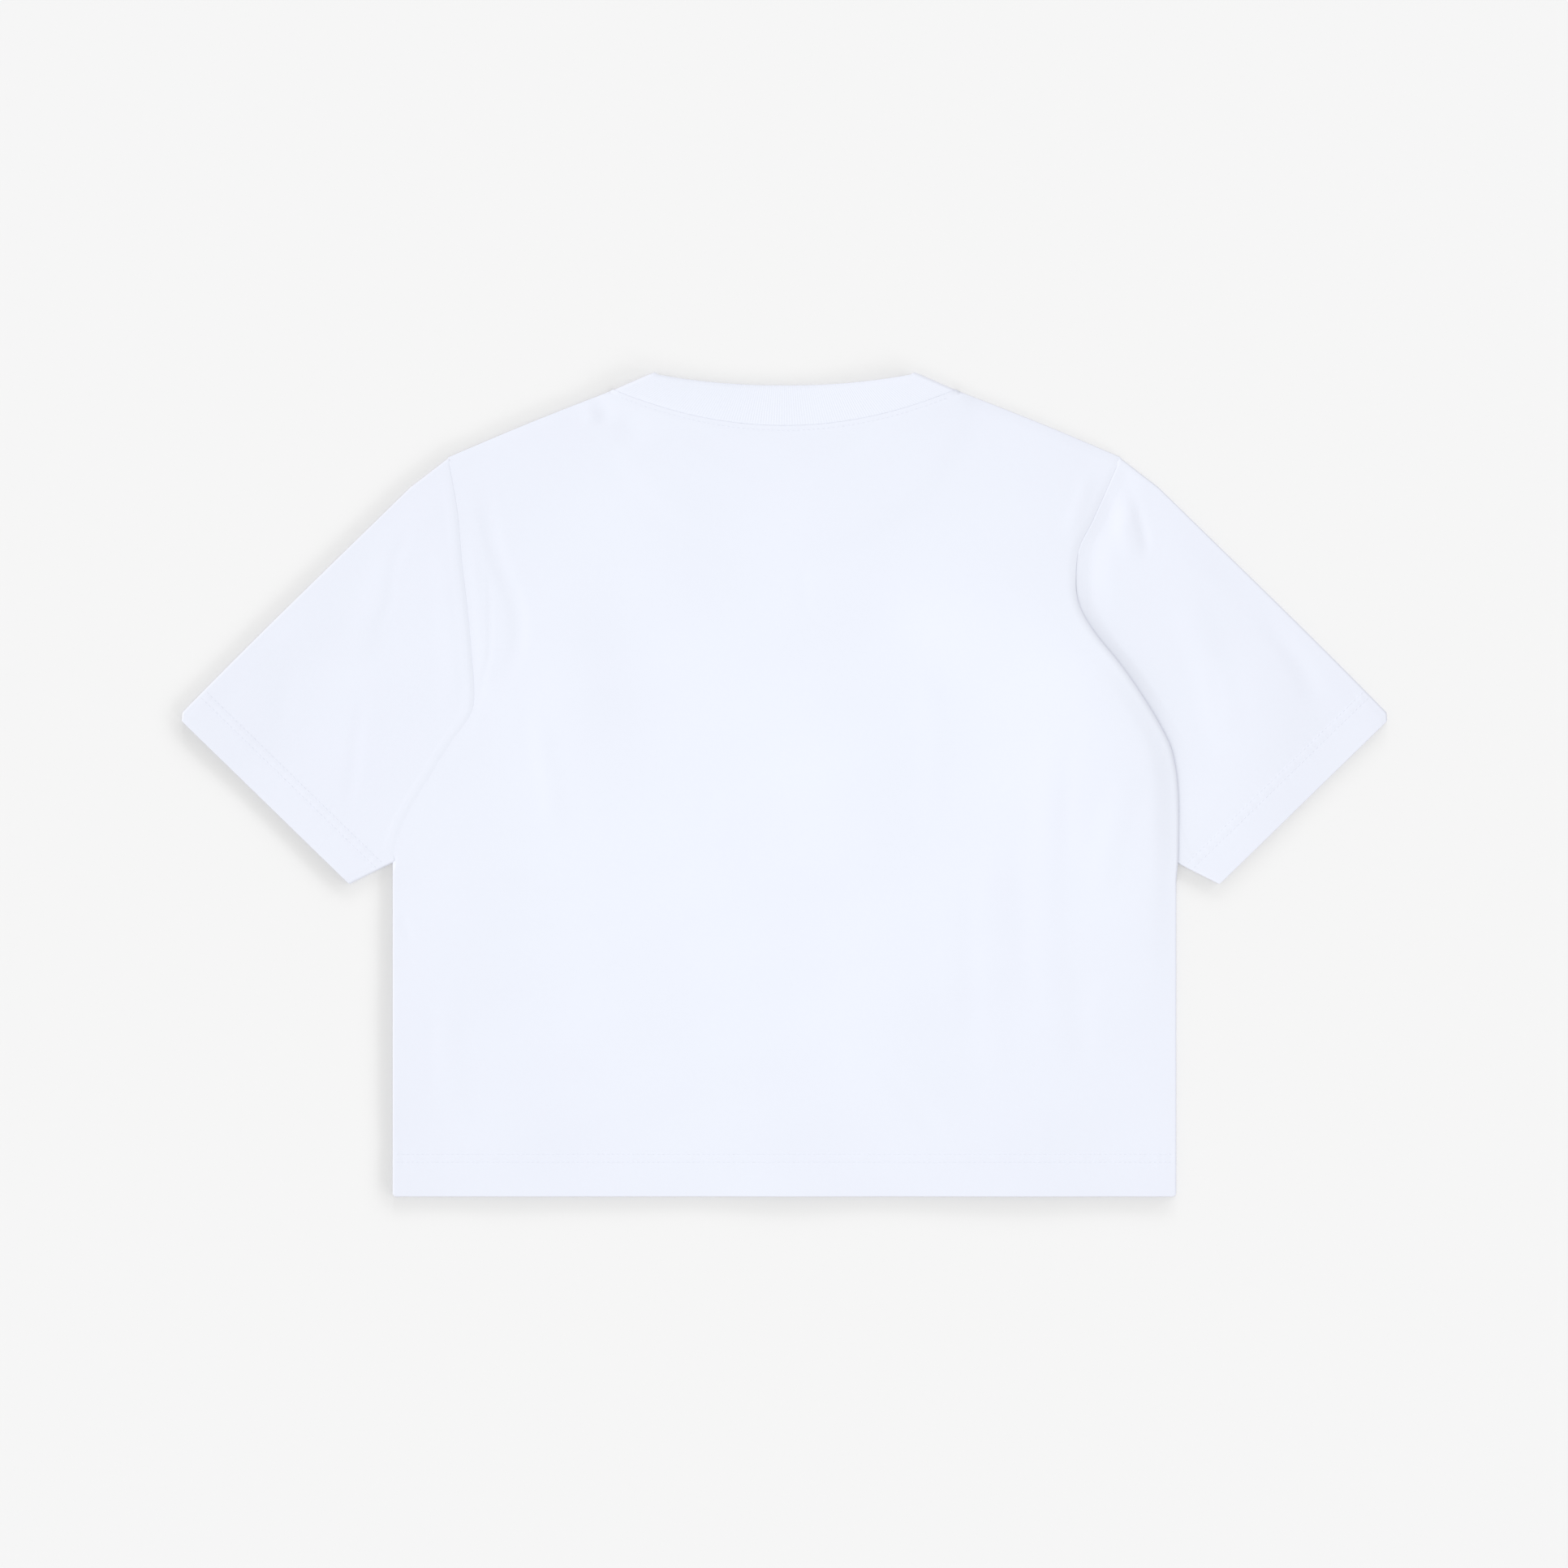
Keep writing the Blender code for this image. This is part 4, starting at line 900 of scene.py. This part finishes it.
def knit_height(tree, coordinates, wale):
    """A jersey's face: columns of V-shaped loops."""
    split = add_node(tree, "SeparateXYZ")
    tree.links.new(coordinates, split.inputs[0])
    across = math_node(tree, "DIVIDE", split.outputs["X"], wale)
    away = math_node(tree, "MULTIPLY", math_node(tree, "PINGPONG", across, 0.5), 2.0)
    slant = math_node(tree, "MULTIPLY", away, -LOOP_SLANT)
    row = math_node(tree, "ADD", math_node(tree, "DIVIDE", split.outputs["Y"], COURSE), slant)
    loops = math_node(tree, "SINE", math_node(tree, "MULTIPLY", row, math.tau))
    column = math_node(tree, "SINE", math_node(tree, "MULTIPLY", away, math.pi))
    return math_node(tree, "ADD", column, math_node(tree, "MULTIPLY", loops, LOOP_SHARE))


def cloth_material(name, colour, turn=0.0, wale=WALE, bump=JERSEY_BUMP):
    """White cotton with the faintest unevenness of tone, a little nap and its knit as bump."""
    material, tree, shader = new_material(name, CLOTH_ROUGHNESS, CLOTH_SPECULAR)
    shader.inputs["Sheen Weight"].default_value = SHEEN
    shader.inputs["Sheen Roughness"].default_value = SHEEN_ROUGHNESS
    place = add_node(tree, "TexCoord")
    turned = add_node(tree, "Mapping", Rotation=(0.0, 0.0, turn))
    tree.links.new(place.outputs["Object"], turned.inputs["Vector"])
    tone = add_node(tree, "TexNoise", Scale=TONE_SCALE, Detail=TONE_DETAIL)
    tree.links.new(place.outputs["Object"], tone.inputs["Vector"])
    mix = add_node(tree, "Mix")
    mix.data_type = "RGBA"
    mix.inputs["A"].default_value = (*colour, 1.0)
    mix.inputs["B"].default_value = (*CLOTH_SHADE, 1.0)
    tree.links.new(tone.outputs["Fac"], mix.inputs["Factor"])
    tree.links.new(mix.outputs["Result"], shader.inputs["Base Color"])
    fibres = add_node(tree, "TexNoise", Scale=FIBRE_SCALE)
    tree.links.new(place.outputs["Object"], fibres.inputs["Vector"])
    height = knit_height(tree, turned.outputs["Vector"], wale)
    height = math_node(tree, "ADD", height, fibres.outputs["Fac"])
    relief = add_node(tree, "Bump", Strength=bump, Distance=BUMP_DISTANCE)
    tree.links.new(height, relief.inputs["Height"])
    tree.links.new(relief.outputs["Normal"], shader.inputs["Normal"])
    return material


def plain_material(name, colour, roughness):
    material, _, shader = new_material(name, roughness, 0.0)
    shader.inputs["Base Color"].default_value = (*colour, 1.0)
    return material


# ---- the stage ----


def add_floor():
    bpy.ops.mesh.primitive_plane_add(size=FLOOR_SIZE, location=(0, 0, FLOOR_Z))
    floor = bpy.context.object
    floor.name = "floor"
    floor.data.materials.append(plain_material("floor_paint", (FLOOR_GREY,) * 3, 1.0))
    return floor


def add_light(name, kind, strength, receivers):
    """A light that falls on the receivers alone."""
    data = bpy.data.lights.new(name, kind)
    data.energy = strength
    light = bpy.data.objects.new(name, data)
    light.visible_camera = False
    bpy.context.scene.collection.objects.link(light)
    group = bpy.data.collections.new(name + "_receivers")
    for obj in receivers:
        group.objects.link(obj)
    light.light_linking.receiver_collection = group
    return light


def add_sun(name, bearing, elevation, angle, strength, receivers):
    light = add_light(name, "SUN", strength, receivers)
    light.data.angle = math.radians(angle)
    light.rotation_euler = (math.radians(90 - elevation), 0.0, math.radians(180 - bearing))
    return light


def add_camera():
    data = bpy.data.cameras.new("camera")
    data.lens = LENS
    data.sensor_width = SENSOR
    camera = bpy.data.objects.new("camera", data)
    camera.location = (*FRAME_MIDDLE, FRAME_WIDTH * LENS / SENSOR + LAYER_TOP)
    bpy.context.scene.collection.objects.link(camera)
    bpy.context.scene.camera = camera


def light_the_scene(cloth, floor):
    scene = bpy.context.scene
    scene.view_settings.view_transform = "Standard"
    world = bpy.data.worlds.new("world")
    world.use_nodes = True
    background = world.node_tree.nodes["Background"]
    background.inputs["Color"].default_value = (1.0, 1.0, 1.0, 1.0)
    background.inputs["Strength"].default_value = WORLD_STRENGTH
    scene.world = world
    for k, sun in enumerate(FLOOR_SUNS):
        add_sun(f"floor_sun_{k}", *sun, [floor])
    add_sun("cloth_sun", *CLOTH_SUN, cloth)
    fill = add_sun("floor_fill", *FLOOR_FILL, [floor])
    fill.data.use_shadow = False
    lamp = add_light("cloth_lamp", "POINT", LAMP_POWER, cloth)
    lamp.location = LAMP_PLACE
    lamp.data.color = LAMP_COLOUR
    lamp.data.shadow_soft_size = LAMP_RADIUS


# ---- the shirt ----


def wall_over_hem(height, hem, hem_wall):
    """A shell's wall at this height above its hem's edge."""
    return lerp(hem_wall, CLOTH_WALL, smoothstep(hem - WALL_STEP, hem + WALL_STEP, height))


def panel_stitches(name, face, material, seed):
    """The two rows of a panel's hem, and the row beside its neck seam."""
    normals = grid_normals(face)
    height = face[..., 1] - HEM_Y
    rows = [contour(face, normals, height, level) for level in (BODY_HEM, BODY_HEM - NEEDLES)]
    hem = add_stitches(name + "_hem_stitches", rows, material, seed)
    columns = np.abs(face[-1, :, 0]) < NECK_SEAM_OUT - NECK_ROW_ENDS
    below = (face[-1:, :, 1] - face[..., 1])[:, columns]
    row = contour(face[:, columns], normals[:, columns], below, NECK_ROW)
    neck = add_stitches(name + "_neck_stitches", [row], material, seed + NECK_SEED)
    return [hem, neck]


def build_shirt():
    """Makes every piece of the shirt, and returns them all."""
    body = cloth_material("jersey", CLOTH_COLOUR)
    thread = plain_material("thread", THREAD_COLOUR, THREAD_ROUGHNESS)
    rib = cloth_material("rib_knit", RIB_COLOUR, wale=RIB_PITCH, bump=RIB_BUMP)

    face = back_face()
    wall = wall_over_hem(face[..., 1] - HEM_Y, BODY_HEM, HEM_WALL)
    sewn = smoothstep(HEM_Y, HEM_Y + BODY_HEM, face[..., 1])
    back = add_shell("back", face, wall, body, rim=lerp(RIM, SEWN_RIM, sewn))
    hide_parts("back_panel")
    sewing = panel_stitches("back", face, thread, BACK_SEED)
    pieces = [back, *sewing]

    face = front_face()
    wall = wall_over_hem(face[..., 1] - HEM_Y, BODY_HEM, HEM_WALL)
    front = add_shell("front", face, wall, body)
    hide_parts("front_panel")
    sewing = panel_stitches("front", face, thread, FRONT_SEED)
    pieces += [front, *sewing]

    for name, side, armhole, seam_dip in (
        ("sleeve_left", -1, left_armhole, LEFT_SEAM_DIP),
        ("sleeve_right", 1, right_armhole, RIGHT_SEAM_DIP),
    ):
        cloth = cloth_material(name + "_jersey", CLOTH_COLOUR, turn=side * math.radians(SLEEVE_GRAIN))
        points, to_cuff = sleeve_face(side, armhole, seam_dip)
        wall = wall_over_hem(to_cuff, CUFF_HEM, CUFF_WALL)
        sleeve = add_shell(name + "_cloth", points, wall, cloth, around=True)
        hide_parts(name)
        normals = grid_normals(points, around=True)
        wrapped = [np.concatenate([a, a[:, :1]], 1) for a in (points, normals, to_cuff)]
        rows = [contour(*wrapped, level) for level in (CUFF_HEM, CUFF_HEM - NEEDLES)]
        cuff = add_stitches(name + "_cuff_stitches", rows, thread, CUFF_SEED)
        pieces += [sleeve, cuff]

    sections = rib_face()
    count = sections.shape[0] * sections.shape[1]
    ids = np.arange(count).reshape(sections.shape[:2])
    ids = np.hstack([ids, ids[:, :1]])
    ids = np.vstack([ids, ids[:1]])
    band = add_mesh("neck_band", sections.reshape(-1, 3), grid_quads(ids)[:, ::-1], rib)
    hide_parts("neck_rib")
    return [*pieces, band]


add_camera()
shirt = build_shirt()
light_the_scene(shirt, add_floor())
